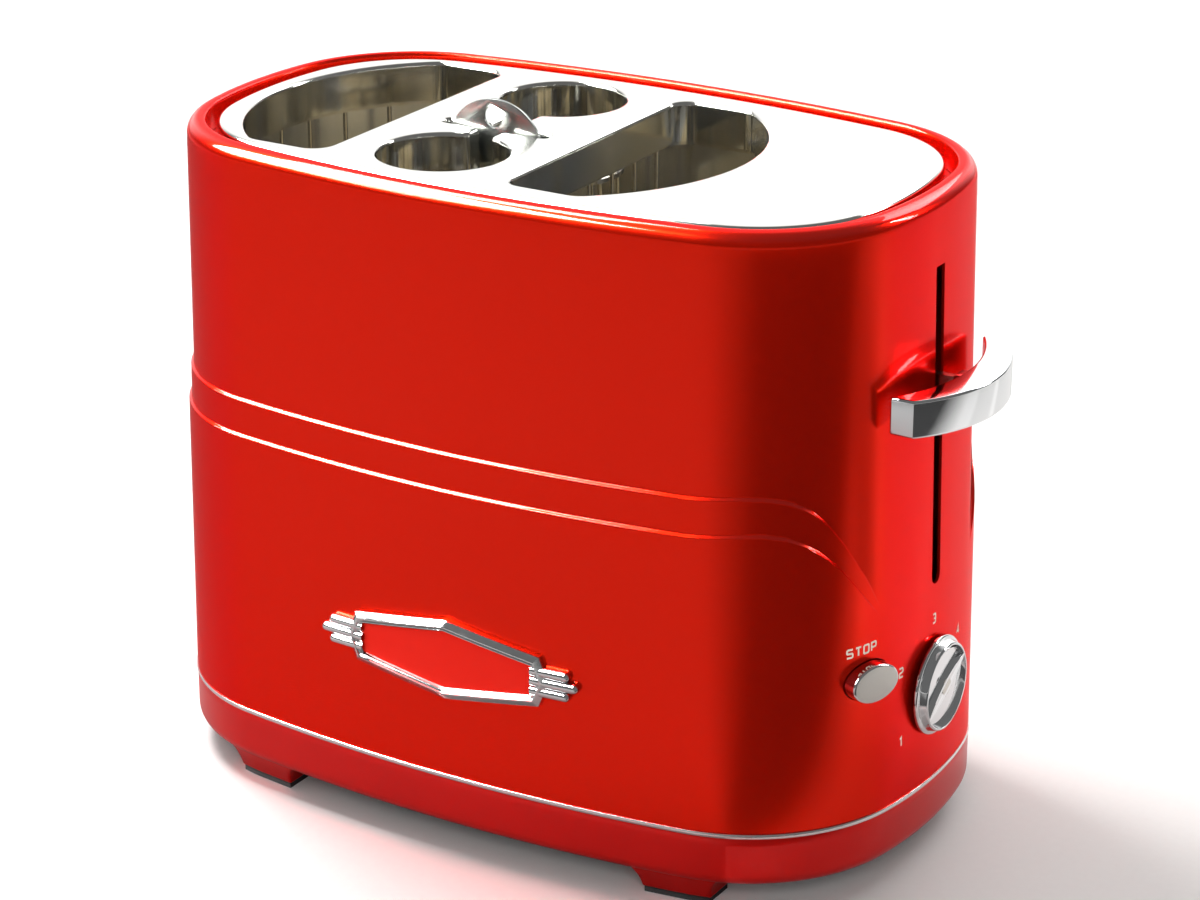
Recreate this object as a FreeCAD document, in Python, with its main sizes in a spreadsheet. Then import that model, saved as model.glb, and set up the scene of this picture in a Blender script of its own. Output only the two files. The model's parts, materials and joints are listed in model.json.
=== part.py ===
import FreeCAD, Part
import math
import os
import re
import Sketcher

# Hot dog toaster. Millimetres, +Z up, origin at the centre of the footprint on the table.
# +X is the lever end, -Y the front with the badge.

os.makedirs("parts", exist_ok=True)
doc = FreeCAD.newDocument("HotDogToaster")
Vector = FreeCAD.Vector

# Driving dimensions.
sizes = {
    # outer form
    "body_length": 280,
    "body_width": 167.4,
    "body_height": 230,
    "side_radius": 582,
    "end_radius": 158,
    "corner_radius": 60.5,
    "shell_wall": 1,
    "shell_draft": 2.7,
    "bead_step": 1,
    "bead_rise": 1.2,
    "upper_bead_z": 142,
    "bead_spacing": 12.5,
    "shoulder_radius": 5,
    "rim_land": 1.6,
    "rim_depth": 9,
    "skirt_top": 27,
    "skirt_bottom": 9,
    "skirt_wall": 2.5,
    "skirt_edge_radius": 4.5,
    "skirt_edge_wall": 1,
    "ledge_thickness": 2.6,
    "ledge_width": 6.5,
    "lip_height": 5,
    "lip_wall": 1.5,
    "trim_height": 1.6,
    "trim_proud": 0.3,
    "foot_x_margin": 57,
    "foot_y_margin": 20.5,
    "foot_length": 34,
    "foot_width": 16,
    "foot_taper": 5,
    "foot_side_taper": 2,
    "foot_flare": 6,
    "foot_rise": 3,
    "foot_low_inset": 4.5,
    "foot_high_inset": 2.7,
    "pad_height": 2,
    "pad_inset": 0.8,
    # clearances
    "seat_gap": 0.3,
    "shaft_gap": 0.05,
    "slide_gap": 0.4,
    "fuse_overlap": 0.5,
    "tool_margin": 1,
    # top plate
    "plate_margin": 10.6,
    "plate_drop": 1,
    "plate_thickness": 1,
    "plate_edge_depth": 8,
    "collar_depth": 13,
    "slot_end_margin": 21.5,
    "slot_side_margin": 26.7,
    "slot_gap": 35.5,
    "slot_arc_radius": 72,
    "slot_corner": 7,
    "hole_radius": 22,
    "hole_side_margin": 46.2,
    "neck_width": 8.5,
    "tab_slot_width": 5,
    "tab_slot_end_gap": 1.5,
    "plate_edge_bevel": 0.6,
    # hot zone
    "sheet_metal": 0.8,
    "bay_width": 66.4,
    "wall_gap": 10.1,
    "wall_top_margin": 17,
    "base_sheet": 1.2,
    "base_recess": 2,
    "drip_opening_margin": 12,
    "reflector_margin": 8,
    "end_reflector_margin": 11.5,
    "guide_clear": 1.6,
    "guide_strip": 1.4,
    "guide_wire": 1.6,
    "guide_wire_pitch": 15,
    "board_thickness": 0.8,
    "outer_board_gap": 1.4,
    "inner_board_gap": 1.8,
    "board_leg_width": 6,
    "board_leg_margin": 4,
    "inner_board_half": 50,
    "outer_board_half": 28,
    "board_bottom_gap": 20,
    "board_top_margin": 32,
    "ribbon_pitch": 17,
    "ribbon_height": 1.6,
    "ribbon_thickness": 0.7,
    # carriage
    "rack_drop": 112,
    "rack_thickness": 1.2,
    "rack_clear": 1.5,
    "rack_hole_radius": 3,
    "rack_hole_pitch": 14,
    "rack_side_margin": 8,
    "rack_end_margin": 18,
    "arm_height": 6,
    "arm_thickness": 1.5,
    "arm_clear": 4,
    "rack_tab_width": 10,
    "cage_seat_width": 16,
    "rack_floor_gap": 33,
    "travel_up": 34,
    "bay_gap": 2.4,
    "bracket_sheet": 1.5,
    "bracket_half_width": 12,
    "rod_radius": 3,
    "rod_offset": 6,
    "bush_radius": 5.5,
    "bush_height": 9,
    "bush_drop": 6,
    "bush_below_stem": 2,
    "bush_above_stem": 1,
    "bush_neck_half": 4,
    "stem_boss_wall": 1.5,
    "spring_radius": 4.7,
    "spring_wire": 0.6,
    "spring_turns": 10,
    "spring_end_gap": 0.1,
    "rod_bracket_drop": 21,
    "rod_bracket_half": 10,
    "rod_bracket_reach": 6,
    "rod_bracket_flange": 12,
    "rod_tip": 3,
    # lever
    "lever_drop": 63,
    "lever_height": 12.7,
    "lever_reach": 17.3,
    "lever_radius": 51,
    "lever_inner_reach": 6,
    "lever_inner_radius": 76,
    "lever_half_span": 34,
    "lever_edge": 1.2,
    "stem_height": 8,
    "stem_thickness": 2.6,
    "stem_entry": 2,
    "lever_boss_half": 3.5,
    "lever_boss_depth": 3,
    "lever_boss_wall": 1.4,
    "end_slot_width": 3.4,
    "end_slot_margin": 5,
    "end_slot_top_gap": 2,
    "arm_slot_gap": 2,
    # hot dog cage
    "basket_radius": 19.4,
    "basket_wire": 1.6,
    "basket_wires": 10,
    "basket_drop": 24,
    "basket_floor": 1,
    "basket_floor_hole": 5,
    "basket_ring_wall": 1,
    "strap_width": 6,
    "strap_height": 1.6,
    "tab_thickness": 1.4,
    "tab_radius": 19.3,
    "tab_rise": 10,
    "tab_hole_radius": 4.2,
    "tab_hole_rise": 3.6,
    "tab_neck_half": 9,
    "tab_segment_drop": 3,
    "tab_y": -5,
    # magnet and latch
    "magnet_offset": 16.8,
    "magnet_y": 26,
    "core_half_width": 12,
    "core_depth": 10,
    "core_limb": 4,
    "core_yoke": 5,
    "core_middle_half": 3.2,
    "core_seat_x": 5,
    "core_seat_y": 2,
    "coil_wall": 4,
    "coil_end_gap": 0.4,
    "coil_top_gap": 1.6,
    "armature_thickness": 3,
    "armature_margin": 1,
    "armature_drop": 2,
    "latch_half_width": 8,
    "latch_flange": 12,
    "latch_bush_gap": 1.5,
    "latch_gap": 0.3,
    # controls
    "dial_z": 62,
    "dial_radius": 17,
    "dial_reach": 5.5,
    "dial_skirt": 2.2,
    "dial_skirt_edge": 0.8,
    "dial_body_radius": 15.8,
    "dial_body_taper": 0.8,
    "dial_rim": 1,
    "dial_scoop_taper": 0.5,
    "dial_blade_top": 2.4,
    "dial_blade_foot": 13,
    "dial_face": 2,
    "dial_rest_angle": 60,
    "dial_stand_off": 0.3,
    "shaft_radius": 3,
    "shaft_hole_gap": 2,
    "knob_bore_gap": 0.02,
    "button_z": 76.8,
    "button_angle": 20.3,
    "button_half_length": 11,
    "button_half_height": 6.75,
    "button_reach": 4.6,
    "button_flange": 2.2,
    "button_flange_sheet": 1.4,
    "plunger_reach": 4.4,
    "button_travel": 2,
    "button_edge": 1.2,
    "switch_half": 6,
    "switch_tip": 0.8,
    "switch_tip_radius": 2,
    "switch_gap": 1.4,
    "circuit_end_margin": 20,
    "circuit_sheet": 1.6,
    "circuit_bottom": 40,
    "circuit_top": 96,
    "circuit_front_margin": 33.7,
    "circuit_rear": 24,
    "standoff_length": 2.2,
    "standoff_radius": 3,
    "standoff_margin": 5,
    "board_foot_reach": 8.2,
    "board_foot_margin": 14,
    "pot_half": 8,
    "pot_depth": 8.5,
    "pot_neck": 5,
    "pot_neck_wall": 1.5,
    "pot_bore_floor": 2,
    # contacts and terminals
    "contact_offset": 18.4,
    "contact_margin": 48.7,
    "contact_half_length": 6,
    "contact_half_width": 9,
    "contact_height": 13,
    "leaf_sheet": 0.6,
    "leaf_reach": 3.3,
    "leaf_half_width": 5,
    "contact_bridge_reach": 18,
    "contact_bridge_half": 3,
    "contact_bridge_height": 3,
    "terminal_offset": 9,
    "terminal_width": 22,
    "terminal_margin": 25.7,
    "terminal_length": 16,
    "terminal_height": 12,
    # badge
    "badge_x": 2,
    "badge_z": 71.3,
    "badge_half_height": 14.4,
    "badge_end_half_height": 9,
    "badge_shoulder": 35,
    "badge_half_length": 38.6,
    "badge_border": 4,
    "badge_backing": 0.8,
    "badge_backing_lap": 1,
    "stud_radius": 1.2,
    "stud_inset": 2,
    "stud_length": 6,
    "badge_thickness": 3,
    "badge_bar_reach": 48.8,
    "badge_bar_step": 3.8,
    "badge_bar_pitch": 4.4,
    "badge_bar_height": 3.9,
    "badge_bar_overlap": 6,
    "badge_bar_thickness": 2.25,
    "inlay_thickness": 1.6,
    # left end grip
    "grip_reach": 18.3,
    "grip_radius": 25.5,
    "grip_half_span": 22,
    "grip_drop": 35,
    "grip_root": 12,
    "grip_edge": 2.5,
    "grip_height": 21,
    # drip tray, fasteners and inlet
    "tray_half_length": 70,
    "tray_top_gap": 0.8,
    "tray_wall": 0.8,
    "tray_window_gap": 1,
    "tray_front_y": -58,
    "bottom_sheet": 1.2,
    "bottom_recess": 0.4,
    "boss_radius": 4.5,
    "boss_angle": 29.1,
    "boss_inset": 7.8,
    "screw_radius": 1.6,
    "screw_head_radius": 2.9,
    "screw_head_height": 1.4,
    "screw_length": 6,
    "gland_z": 41,
    "gland_angle": 6,
    "gland_radius": 6,
    "gland_bore": 3.6,
    "gland_flange": 9,
    "gland_inside": 4,
    "gland_outside": 3,
}

sheet = doc.addObject("Spreadsheet::Sheet", "Sizes")
for row, (name, number) in enumerate(sizes.items(), start=1):
    sheet.set(f"A{row}", name)
    sheet.set(f"B{row}", str(number))
    sheet.setAlias(f"B{row}", name)
doc.recompute()

# Places that follow from the driving dimensions.
derived = {
    "half_length": "body_length / 2",
    "half_width": "body_width / 2",
    "shell_bottom": "skirt_top + trim_height",
    "top_inset": "shell_draft + 2 * bead_step",
    "plate_top": "body_height - plate_drop",
    "plate_inset": "top_inset + plate_margin",
    "collar_bottom": "plate_top - plate_thickness - collar_depth",
    "wall_x": "half_length - bay_width",
    "slot_half": "half_width - slot_side_margin",
    "slot_width": "(body_length - slot_end_margin - bay_width - wall_gap - 2 * slot_gap) / 2",
    "food_x": "wall_x - wall_gap - slot_width - slot_gap",
    "hole_y": "half_width - hole_side_margin",
    "base_top": "skirt_top - base_recess",
    "wall_top": "body_height - wall_top_margin",
    "reflector_y": "slot_half + reflector_margin",
    "arm_y": "slot_half + arm_clear",
    "rack_bottom": "body_height - rack_drop",
    "rack_top": "rack_bottom + rack_thickness",
    "travel_down": "rack_bottom - base_top - rack_floor_gap",
    "arm_bottom": "rack_bottom - arm_height",
    "guide_out": "guide_clear + guide_strip",
    "cross_bar_x": "wall_x + base_sheet + bay_gap",
    "bracket_x": "cross_bar_x + arm_thickness",
    "rod_x": "bracket_x + bracket_sheet + rod_offset",
    "lever_z": "body_height - lever_drop",
    "stem_bottom": "lever_z - stem_height / 2",
    "stem_top": "lever_z + stem_height / 2",
    "upper_bush_bottom": "stem_bottom - bush_below_stem",
    "upper_bush_top": "stem_top + bush_above_stem",
    "lower_bush_bottom": "arm_bottom - bush_drop",
    "stem_start_x": "rod_x + bush_radius + stem_boss_wall",
    "lever_outer_x": "half_length + lever_reach",
    "lever_inner_x": "half_length + lever_inner_reach",
    "slot_low_z": "lever_z - travel_down - stem_height / 2 - end_slot_margin",
    "slot_high_z": "lever_z + travel_up + stem_height / 2 + end_slot_top_gap",
    "grip_z": "body_height - grip_drop",
    "magnet_x": "rod_x + magnet_offset",
    "armature_bottom": "lower_bush_bottom - armature_drop",
    "latch_floor": "armature_bottom + armature_thickness",
    "core_top": "armature_bottom - travel_down - latch_gap",
    "magnet_floor": "base_top + base_sheet",
    "circuit_x": "half_length - circuit_end_margin",
    "circuit_face": "circuit_x + circuit_sheet",
    "circuit_front": "circuit_front_margin - half_width",
    "contact_x": "wall_x + contact_offset",
    "contact_y": "contact_margin - half_width",
    "dial_back_x": "half_length + dial_stand_off",
    "cage_floor": "rack_top",
    "basket_top": "plate_top - basket_drop",
    "tab_centre_z": "plate_top + tab_rise - tab_radius",
    "bottom_sheet_z": "skirt_bottom + bottom_recess",
    "bottom_inset": "skirt_edge_radius + skirt_edge_wall + slide_gap",
    "ledge_bottom": "base_top - base_sheet - ledge_thickness",
    "tray_floor_z": "bottom_sheet_z + bottom_sheet + seat_gap",
    "tray_top": "ledge_bottom - tray_top_gap",
    "foot_x": "half_length - foot_x_margin",
    "foot_y": "half_width - foot_y_margin",
}


def bound(text):
    """Writes an expression of the document from plain size names."""
    def owner(match):
        word = match.group()
        if word in sizes:
            return "Sizes." + word
        return "Places." + word if word in derived else word
    return re.sub(r"[a-z][a-z_]+", owner, str(text))


places = doc.addObject("App::VarSet", "Places")
for name, text in derived.items():
    places.addProperty("App::PropertyFloat", name)
    places.setExpression(name, bound(text))
    doc.recompute()


def mm(name):
    return float(sizes[name]) if name in sizes else float(getattr(places, name))


subparts = []


def keep(label, item):
    item.Label = label
    subparts.append(item)
    return item


def solid(label, shape):
    item = doc.addObject("Part::Feature", label)
    item.Shape = shape
    return keep(label, item)


def box(name, x, y, z):
    """A block between three pairs of low and high places."""
    item = doc.addObject("Part::Box", name)
    for size, axis, (low, high) in zip(("Length", "Width", "Height"), "xyz", (x, y, z)):
        item.setExpression(size, bound(f"({high}) - ({low})"))
        item.setExpression(f"Placement.Base.{axis}", bound(low))
    return item


turns = {
    "x": FreeCAD.Rotation(Vector(0, 1, 0), 90),
    "y": FreeCAD.Rotation(Vector(1, 0, 0), -90),
    "z": FreeCAD.Rotation(),
}


def rod(name, axis, place, radius, span):
    """A cylinder along one axis, from the low to the high end of its span."""
    item = doc.addObject("Part::Cylinder", name)
    item.Placement.Rotation = turns[axis]
    item.setExpression("Radius", bound(radius))
    item.setExpression("Height", bound(f"({span[1]}) - ({span[0]})"))
    across = iter(place)
    for letter in "xyz":
        text = span[0] if letter == axis else next(across)
        item.setExpression(f"Placement.Base.{letter}", bound(text))
    return item


def fuse(name, *items):
    item = doc.addObject("Part::MultiFuse", name)
    item.Shapes = list(items)
    item.Refine = True
    return item


def cut(name, base, *tools):
    item = doc.addObject("Part::Cut", name)
    item.Base = base
    item.Tool = tools[0] if len(tools) == 1 else fuse(name + "_tools", *tools)
    return item


# Outline of the body: two long side arcs, two end arcs and four corner arcs, all tangent.
# It is drawn at an inset from the widest outline, with the same arc centres.

def corner_centre():
    """Where a circle at both the side's and the end's distance has its centre."""
    side = mm("half_width") - mm("side_radius")
    end = mm("half_length") - mm("end_radius")
    to_side = mm("side_radius") - mm("corner_radius")
    to_end = mm("end_radius") - mm("corner_radius")
    apart = math.hypot(end, side)
    along = (to_side ** 2 - to_end ** 2 + apart ** 2) / (2 * apart)
    off = math.sqrt(to_side ** 2 - along ** 2)
    toward = Vector(end, -side, 0) / apart
    return Vector(0, side, 0) + toward * along + Vector(toward.y, -toward.x, 0) * off


corner = corner_centre()
side_centre = Vector(0, mm("half_width") - mm("side_radius"), 0)
end_centre = Vector(mm("half_length") - mm("end_radius"), 0, 0)


def outline(z, inset):
    radius = mm("corner_radius") - inset
    to_side = (corner - side_centre).normalize()
    to_end = (corner - end_centre).normalize()
    on_side = corner + to_side * radius
    on_end = corner + to_end * radius
    on_corner = corner + (to_side + to_end).normalize() * radius
    side = Vector(0, mm("half_width") - inset, 0)
    end = Vector(mm("half_length") - inset, 0, 0)

    def placed(point, x_sign, y_sign):
        return Vector(point.x * x_sign, point.y * y_sign, z)

    edges = []
    for x_sign, y_sign in ((1, 1), (-1, 1), (-1, -1), (1, -1)):
        ends = [placed(point, x_sign, y_sign) for point in (on_end, on_corner, on_side)]
        across_x = x_sign == y_sign
        middle = placed(side, 1, y_sign) if across_x else placed(end, x_sign, 1)
        last = placed(on_end, x_sign, -y_sign)
        if across_x:
            last = placed(on_side, -x_sign, y_sign)
        if not across_x:
            ends.reverse()
        edges.append(Part.Arc(*ends).toShape())
        edges.append(Part.Arc(ends[2], middle, last).toShape())
    return Part.Wire(edges)


def oval(levels):
    """A solid through outlines at (height, inset) levels."""
    return Part.makeLoft([outline(z, inset) for z, inset in levels], True, True)


def oval_ring(low, high, outer, inner):
    return oval([(low, outer), (high, outer)]).cut(oval([(low, inner), (high, inner)]))


bead_heights = (mm("upper_bead_z") - mm("bead_spacing"), mm("upper_bead_z"))


def shell_inset(z):
    """How far the shell's face lies inside the widest outline at a height, below the shoulder."""
    rise = (z - mm("shell_bottom")) / (mm("body_height") - mm("shell_bottom"))
    beads = sum(z > bead for bead in bead_heights)
    return rise * mm("shell_draft") + beads * mm("bead_step")


def shell_levels(wall):
    top = mm("body_height") - wall
    shoulder = mm("shoulder_radius")
    levels = [(mm("shell_bottom"), wall)]
    for bead in bead_heights:
        for z in (bead, bead + mm("bead_rise")):
            levels.append((z, shell_inset(z) + wall))
    for degrees in (0, 22, 45, 68, 90):
        angle = math.radians(degrees)
        z = top - shoulder * (1 - math.sin(angle))
        levels.append((z, mm("top_inset") + wall + shoulder * (1 - math.cos(angle))))
    return levels


# Outside -------------------------------------------------------------------------------

rim_inset = mm("top_inset") + mm("shoulder_radius") + mm("rim_land")


def block(x, y, z):
    return Part.makeBox(x[1] - x[0], y[1] - y[0], z[1] - z[0], Vector(x[0], y[0], z[0]))


def about(name, half):
    """The low and high end of a stretch whose middle is a named place."""
    return (mm(name) - half, mm(name) + half)


def button_frame(distance):
    """Placement on the front corner of the lever end, its X along the face's normal."""
    angle = math.radians(-mm("button_angle"))
    normal = Vector(math.cos(angle), math.sin(angle), 0)
    face = Vector(corner.x, -corner.y, mm("button_z"))
    face += normal * (mm("corner_radius") - shell_inset(mm("button_z")))
    turn = FreeCAD.Rotation(Vector(0, 0, 1), -mm("button_angle"))
    return FreeCAD.Placement(face + normal * distance, turn)


def oval_button(grow, low, high):
    """An elliptical prism along the button's normal."""
    half_length = mm("button_half_length") + grow
    half_height = mm("button_half_height") + grow
    face = Part.Face(Part.Wire(Part.Ellipse(Vector(), half_length, half_height).toShape()))
    shape = face.extrude(Vector(0, 0, high - low))
    shape.rotate(Vector(0, 0, 0), Vector(1, 1, 1), 120)
    shape.translate(Vector(low, 0, 0))
    shape.Placement = button_frame(0).multiply(shape.Placement)
    return shape


def gland_placement():
    angle = math.radians(mm("gland_angle"))
    normal = Vector(math.sin(angle), math.cos(angle), 0)
    face = side_centre + normal * (mm("side_radius") - shell_inset(mm("gland_z")))
    turn = FreeCAD.Rotation(Vector(0, 0, 1), normal)
    return FreeCAD.Placement(face + Vector(0, 0, mm("gland_z")), turn)


def gland_tube(radius, low, high):
    shape = Part.makeCylinder(radius, high - low, Vector(0, 0, low))
    shape.Placement = gland_placement().multiply(shape.Placement)
    return shape


def badge_outline(shrink):
    """The eight-sided badge in the XZ plane."""
    tall = mm("badge_half_height") - shrink
    low = mm("badge_end_half_height") - shrink
    shoulder = mm("badge_shoulder") - shrink
    tip = mm("badge_half_length") - shrink
    ring = [(-shoulder, low), (0, tall), (shoulder, low), (tip, 0)]
    ring += [(shoulder, -low), (0, -tall), (-shoulder, -low), (-tip, 0)]
    points = [Vector(mm("badge_x") + x, 0, mm("badge_z") + z) for x, z in ring]
    return Part.Face(Part.makePolygon(points + points[:1]))


def front_layer(inner, outer):
    """A sheet that follows the front of the shell, between two distances from its face."""
    heights = (mm("shell_bottom"), bead_heights[0])
    outside = oval([(z, shell_inset(z) - outer) for z in heights])
    return outside.cut(oval([(z, shell_inset(z) - inner) for z in heights]))


def front_prism(face):
    return face.extrude(Vector(0, -mm("body_width"), 0))


def badge_studs(radius):
    """Two studs from inside the shell's wall to the badge's frame."""
    start = mm("stud_length") - mm("half_width")
    reach = mm("stud_length") + mm("badge_backing")
    studs = []
    for side in (-1, 1):
        x = mm("badge_x") + side * (mm("badge_shoulder") - mm("stud_inset"))
        place = Vector(x, start, mm("badge_z"))
        studs.append(Part.makeCylinder(radius, reach, place, Vector(0, -1, 0)))
    return studs


def end_hole(radius, y, z):
    """A tool that drills the lever end of the shell from inside."""
    return Part.makeCylinder(radius, mm("body_length"), Vector(0, y, z), Vector(1, 0, 0))


def make_shell():
    shell = oval(shell_levels(0)).cut(oval(shell_levels(mm("shell_wall"))))
    top = mm("body_height")
    low = top - mm("rim_depth")
    lip = oval_ring(low, top, rim_inset - mm("shell_wall"), rim_inset)
    mouth = [(z, rim_inset) for z in (low - mm("tool_margin"), top + mm("tool_margin"))]
    shell = shell.fuse(lip).cut(oval(mouth))
    half = mm("end_slot_width") / 2
    slot_low = mm("slot_low_z") + half
    slot = block((0, mm("body_length")), (-half, half), (slot_low, mm("slot_high_z")))
    reach = mm("button_reach")
    holes = [
        slot.fuse(end_hole(half, 0, slot_low)),
        end_hole(mm("shaft_radius") + mm("shaft_hole_gap"), 0, mm("dial_z")),
        oval_button(mm("slide_gap"), -reach, reach),
        gland_tube(mm("gland_radius") + mm("seat_gap"), -mm("gland_flange"), mm("gland_flange")),
        *badge_studs(mm("stud_radius") + mm("seat_gap")),
    ]
    return shell.cut(Part.makeCompound(holes))


solid("body_shell", make_shell())
trim = oval_ring(mm("skirt_top"), mm("shell_bottom"), -mm("trim_proud"), mm("shell_wall"))
solid("trim_ring", trim)


def tray_window(gap):
    reach = mm("tray_half_length") + mm("tray_window_gap") - gap
    low = mm("tray_floor_z") - mm("seat_gap")
    return block(about("food_x", reach), (0, mm("body_width")), (low + gap, mm("ledge_bottom") - gap))


def skirt_levels(wall):
    bottom = mm("skirt_bottom")
    radius = mm("skirt_edge_radius")
    levels = []
    for degrees in (0, 30, 60, 90):
        angle = math.radians(degrees)
        levels.append((bottom + radius * (1 - math.cos(angle)), radius * (1 - math.sin(angle)) + wall))
    return levels + [(mm("skirt_top"), wall)]


def foot(x_sign, y_sign):
    """A tapered foot whose outer side follows the skirt."""
    top = mm("skirt_bottom") + mm("foot_rise")

    def section(z, taper, side_taper):
        x = mm("foot_length") / 2 - taper
        inner = mm("foot_width") / 2 - side_taper
        ring = [Vector((mm("foot_x") + i) * x_sign, (mm("foot_y") + j) * y_sign, z)
                for i, j in ((-x, -inner), (x, -inner), (x, foot_outer), (-x, foot_outer))]
        return Part.makePolygon(ring + ring[:1])

    low = section(mm("pad_height"), mm("foot_taper"), mm("foot_side_taper"))
    tapered = Part.makeLoft([low, section(top, 0, 0)], True, True)
    levels = [(0, mm("foot_low_inset")), (mm("skirt_bottom"), mm("foot_high_inset")), (top, mm("shaft_gap"))]
    return tapered.common(oval(levels))


corners = [(x_sign, y_sign) for x_sign in (-1, 1) for y_sign in (-1, 1)]
foot_outer = mm("foot_width") / 2 + mm("foot_flare")


def boss_place():
    """On a normal of the corner arc, a set distance inside the widest outline, to a tenth of a millimetre."""
    angle = math.radians(mm("boss_angle"))
    place = corner + Vector(math.cos(angle), math.sin(angle), 0) * (mm("corner_radius") - mm("boss_inset"))
    return Vector(round(place.x, 1), round(place.y, 1), 0)


def at_bosses(radius, low, high):
    """An upright cylinder at each of the four screw bosses."""
    boss = boss_place()
    places = [Vector(boss.x * x_sign, boss.y * y_sign, low) for x_sign, y_sign in corners]
    return [Part.makeCylinder(radius, high - low, place) for place in places]


def screw_holes():
    return Part.makeCompound(at_bosses(mm("screw_radius") + mm("shaft_gap"), 0, mm("body_height")))


def make_skirt():
    wall = mm("skirt_wall")
    overlap = mm("fuse_overlap")
    edge = mm("skirt_edge_radius")
    low, high = mm("skirt_bottom"), mm("skirt_top")
    inside = oval([(low - mm("tool_margin"), edge + mm("skirt_edge_wall")), (low + edge, wall), (high, wall)])
    skirt = oval(skirt_levels(0)).cut(inside)
    ledge_top = mm("base_top") - mm("base_sheet")
    skirt = skirt.fuse(oval_ring(mm("ledge_bottom"), ledge_top, wall - overlap, wall + mm("ledge_width")))
    lip_out = mm("shell_wall") + mm("seat_gap")
    lip_low = high - mm("base_recess")
    lip = oval_ring(lip_low, high + mm("lip_height"), lip_out, lip_out + mm("lip_wall"))
    skirt = skirt.fuse(lip)
    for boss in at_bosses(mm("boss_radius"), mm("bottom_sheet_z") + mm("bottom_sheet"), ledge_top):
        skirt = skirt.fuse(boss)
    for x_sign, y_sign in corners:
        skirt = skirt.fuse(foot(x_sign, y_sign).cut(inside))
    return skirt.cut(screw_holes()).cut(tray_window(0)).removeSplitter()


solid("base_skirt", make_skirt())


def make_pads():
    half = mm("foot_length") / 2 - mm("foot_taper") - mm("pad_inset")
    inner = mm("foot_width") / 2 - mm("foot_side_taper") - mm("pad_inset")
    edge = mm("foot_low_inset") + mm("pad_inset")
    height = (0, mm("pad_height"))
    pads = []
    for x_sign, y_sign in corners:
        x = sorted((x_sign * (mm("foot_x") - half), x_sign * (mm("foot_x") + half)))
        y = sorted((y_sign * (mm("foot_y") - inner), y_sign * (mm("foot_y") + foot_outer)))
        pads.append(block(x, y, height).common(oval([(z, edge) for z in height])))
    return Part.makeCompound(pads)


solid("foot_pads", make_pads())


def slot_prism(side, grow, low, high):
    """A bun slot: straight towards the hot dogs, an arc towards the end of the body."""
    straight = mm("slot_gap") - grow
    half = mm("slot_half") + grow
    radius = mm("slot_arc_radius") + grow
    centre = mm("slot_gap") + mm("slot_width") - mm("slot_arc_radius")
    reach = centre + math.sqrt(radius ** 2 - half ** 2)
    tip = centre + radius

    def at(u, v):
        return Vector(mm("food_x") + side * u, v, low)

    edges = [
        Part.makeLine(at(straight, half), at(straight, -half)),
        Part.makeLine(at(straight, -half), at(reach, -half)),
        Part.Arc(at(reach, -half), at(tip, 0), at(reach, half)).toShape(),
        Part.makeLine(at(reach, half), at(straight, half)),
    ]
    prism = Part.Face(Part.Wire(edges)).extrude(Vector(0, 0, high - low))
    upright = [edge for edge in prism.Edges if edge.BoundBox.ZLength > (high - low) / 2]
    return prism.makeFillet(mm("slot_corner") + grow, upright)


def cage_opening(grow, low, high):
    """Two round holes, the neck between them and the slot for the cage's tab."""
    opening = block(about("food_x", mm("neck_width") / 2 + grow), (-mm("hole_y"), mm("hole_y")), (low, high))
    for y in (-mm("hole_y"), mm("hole_y")):
        place = Vector(mm("food_x"), y, low)
        opening = opening.fuse(Part.makeCylinder(mm("hole_radius") + grow, high - low, place))
    reach = mm("tab_radius") + mm("tab_slot_end_gap") + grow
    half = mm("tab_slot_width") / 2 + grow
    tab_slot = block(about("food_x", reach), about("tab_y", half), (low, high))
    return opening.fuse(tab_slot).removeSplitter()


def openings(grow, low, high):
    slots = [slot_prism(side, grow, low, high) for side in (-1, 1)]
    return [*slots, cage_opening(grow, low, high)]


def make_top_plate():
    """A sheet with a turned-down edge, a flange under the shell's rim and a collar at each opening."""
    top = mm("plate_top")
    sheet = mm("plate_thickness")
    bevel = mm("plate_edge_bevel")
    inset = mm("plate_inset")
    flange = top - mm("plate_edge_depth")
    plate = oval([(top - sheet, inset), (top - bevel, inset), (top, inset + bevel)])
    plate = plate.fuse(oval_ring(flange - sheet, top - sheet, inset, inset + sheet))
    flange_inset = rim_inset - mm("shell_wall")
    plate = plate.fuse(oval_ring(flange - sheet, flange, flange_inset, inset + mm("fuse_overlap")))
    for collar in openings(sheet, mm("collar_bottom"), top - sheet):
        plate = plate.fuse(collar)
    for opening in openings(0, mm("collar_bottom") - mm("tool_margin"), top + mm("tool_margin")):
        plate = plate.cut(opening)
    return plate.removeSplitter()


solid("top_plate", make_top_plate())


def bars(side):
    """Three round-ended bars beside the badge, the middle one longest."""
    shapes = []
    for row in (-1, 0, 1):
        reach = mm("badge_bar_reach") - abs(row) * mm("badge_bar_step")
        z = mm("badge_z") + row * mm("badge_bar_pitch")
        half = mm("badge_bar_height") / 2
        root = mm("badge_x") + side * (mm("badge_shoulder") - mm("badge_bar_overlap"))
        end = Vector(mm("badge_x") + side * (reach - half), -mm("body_width"), z)
        bar = block(sorted((root, end.x)), (end.y, 0), (z - half, z + half))
        shapes.append(bar.fuse(Part.makeCylinder(half, mm("body_width"), end, Vector(0, 1, 0))))
    return shapes


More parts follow.
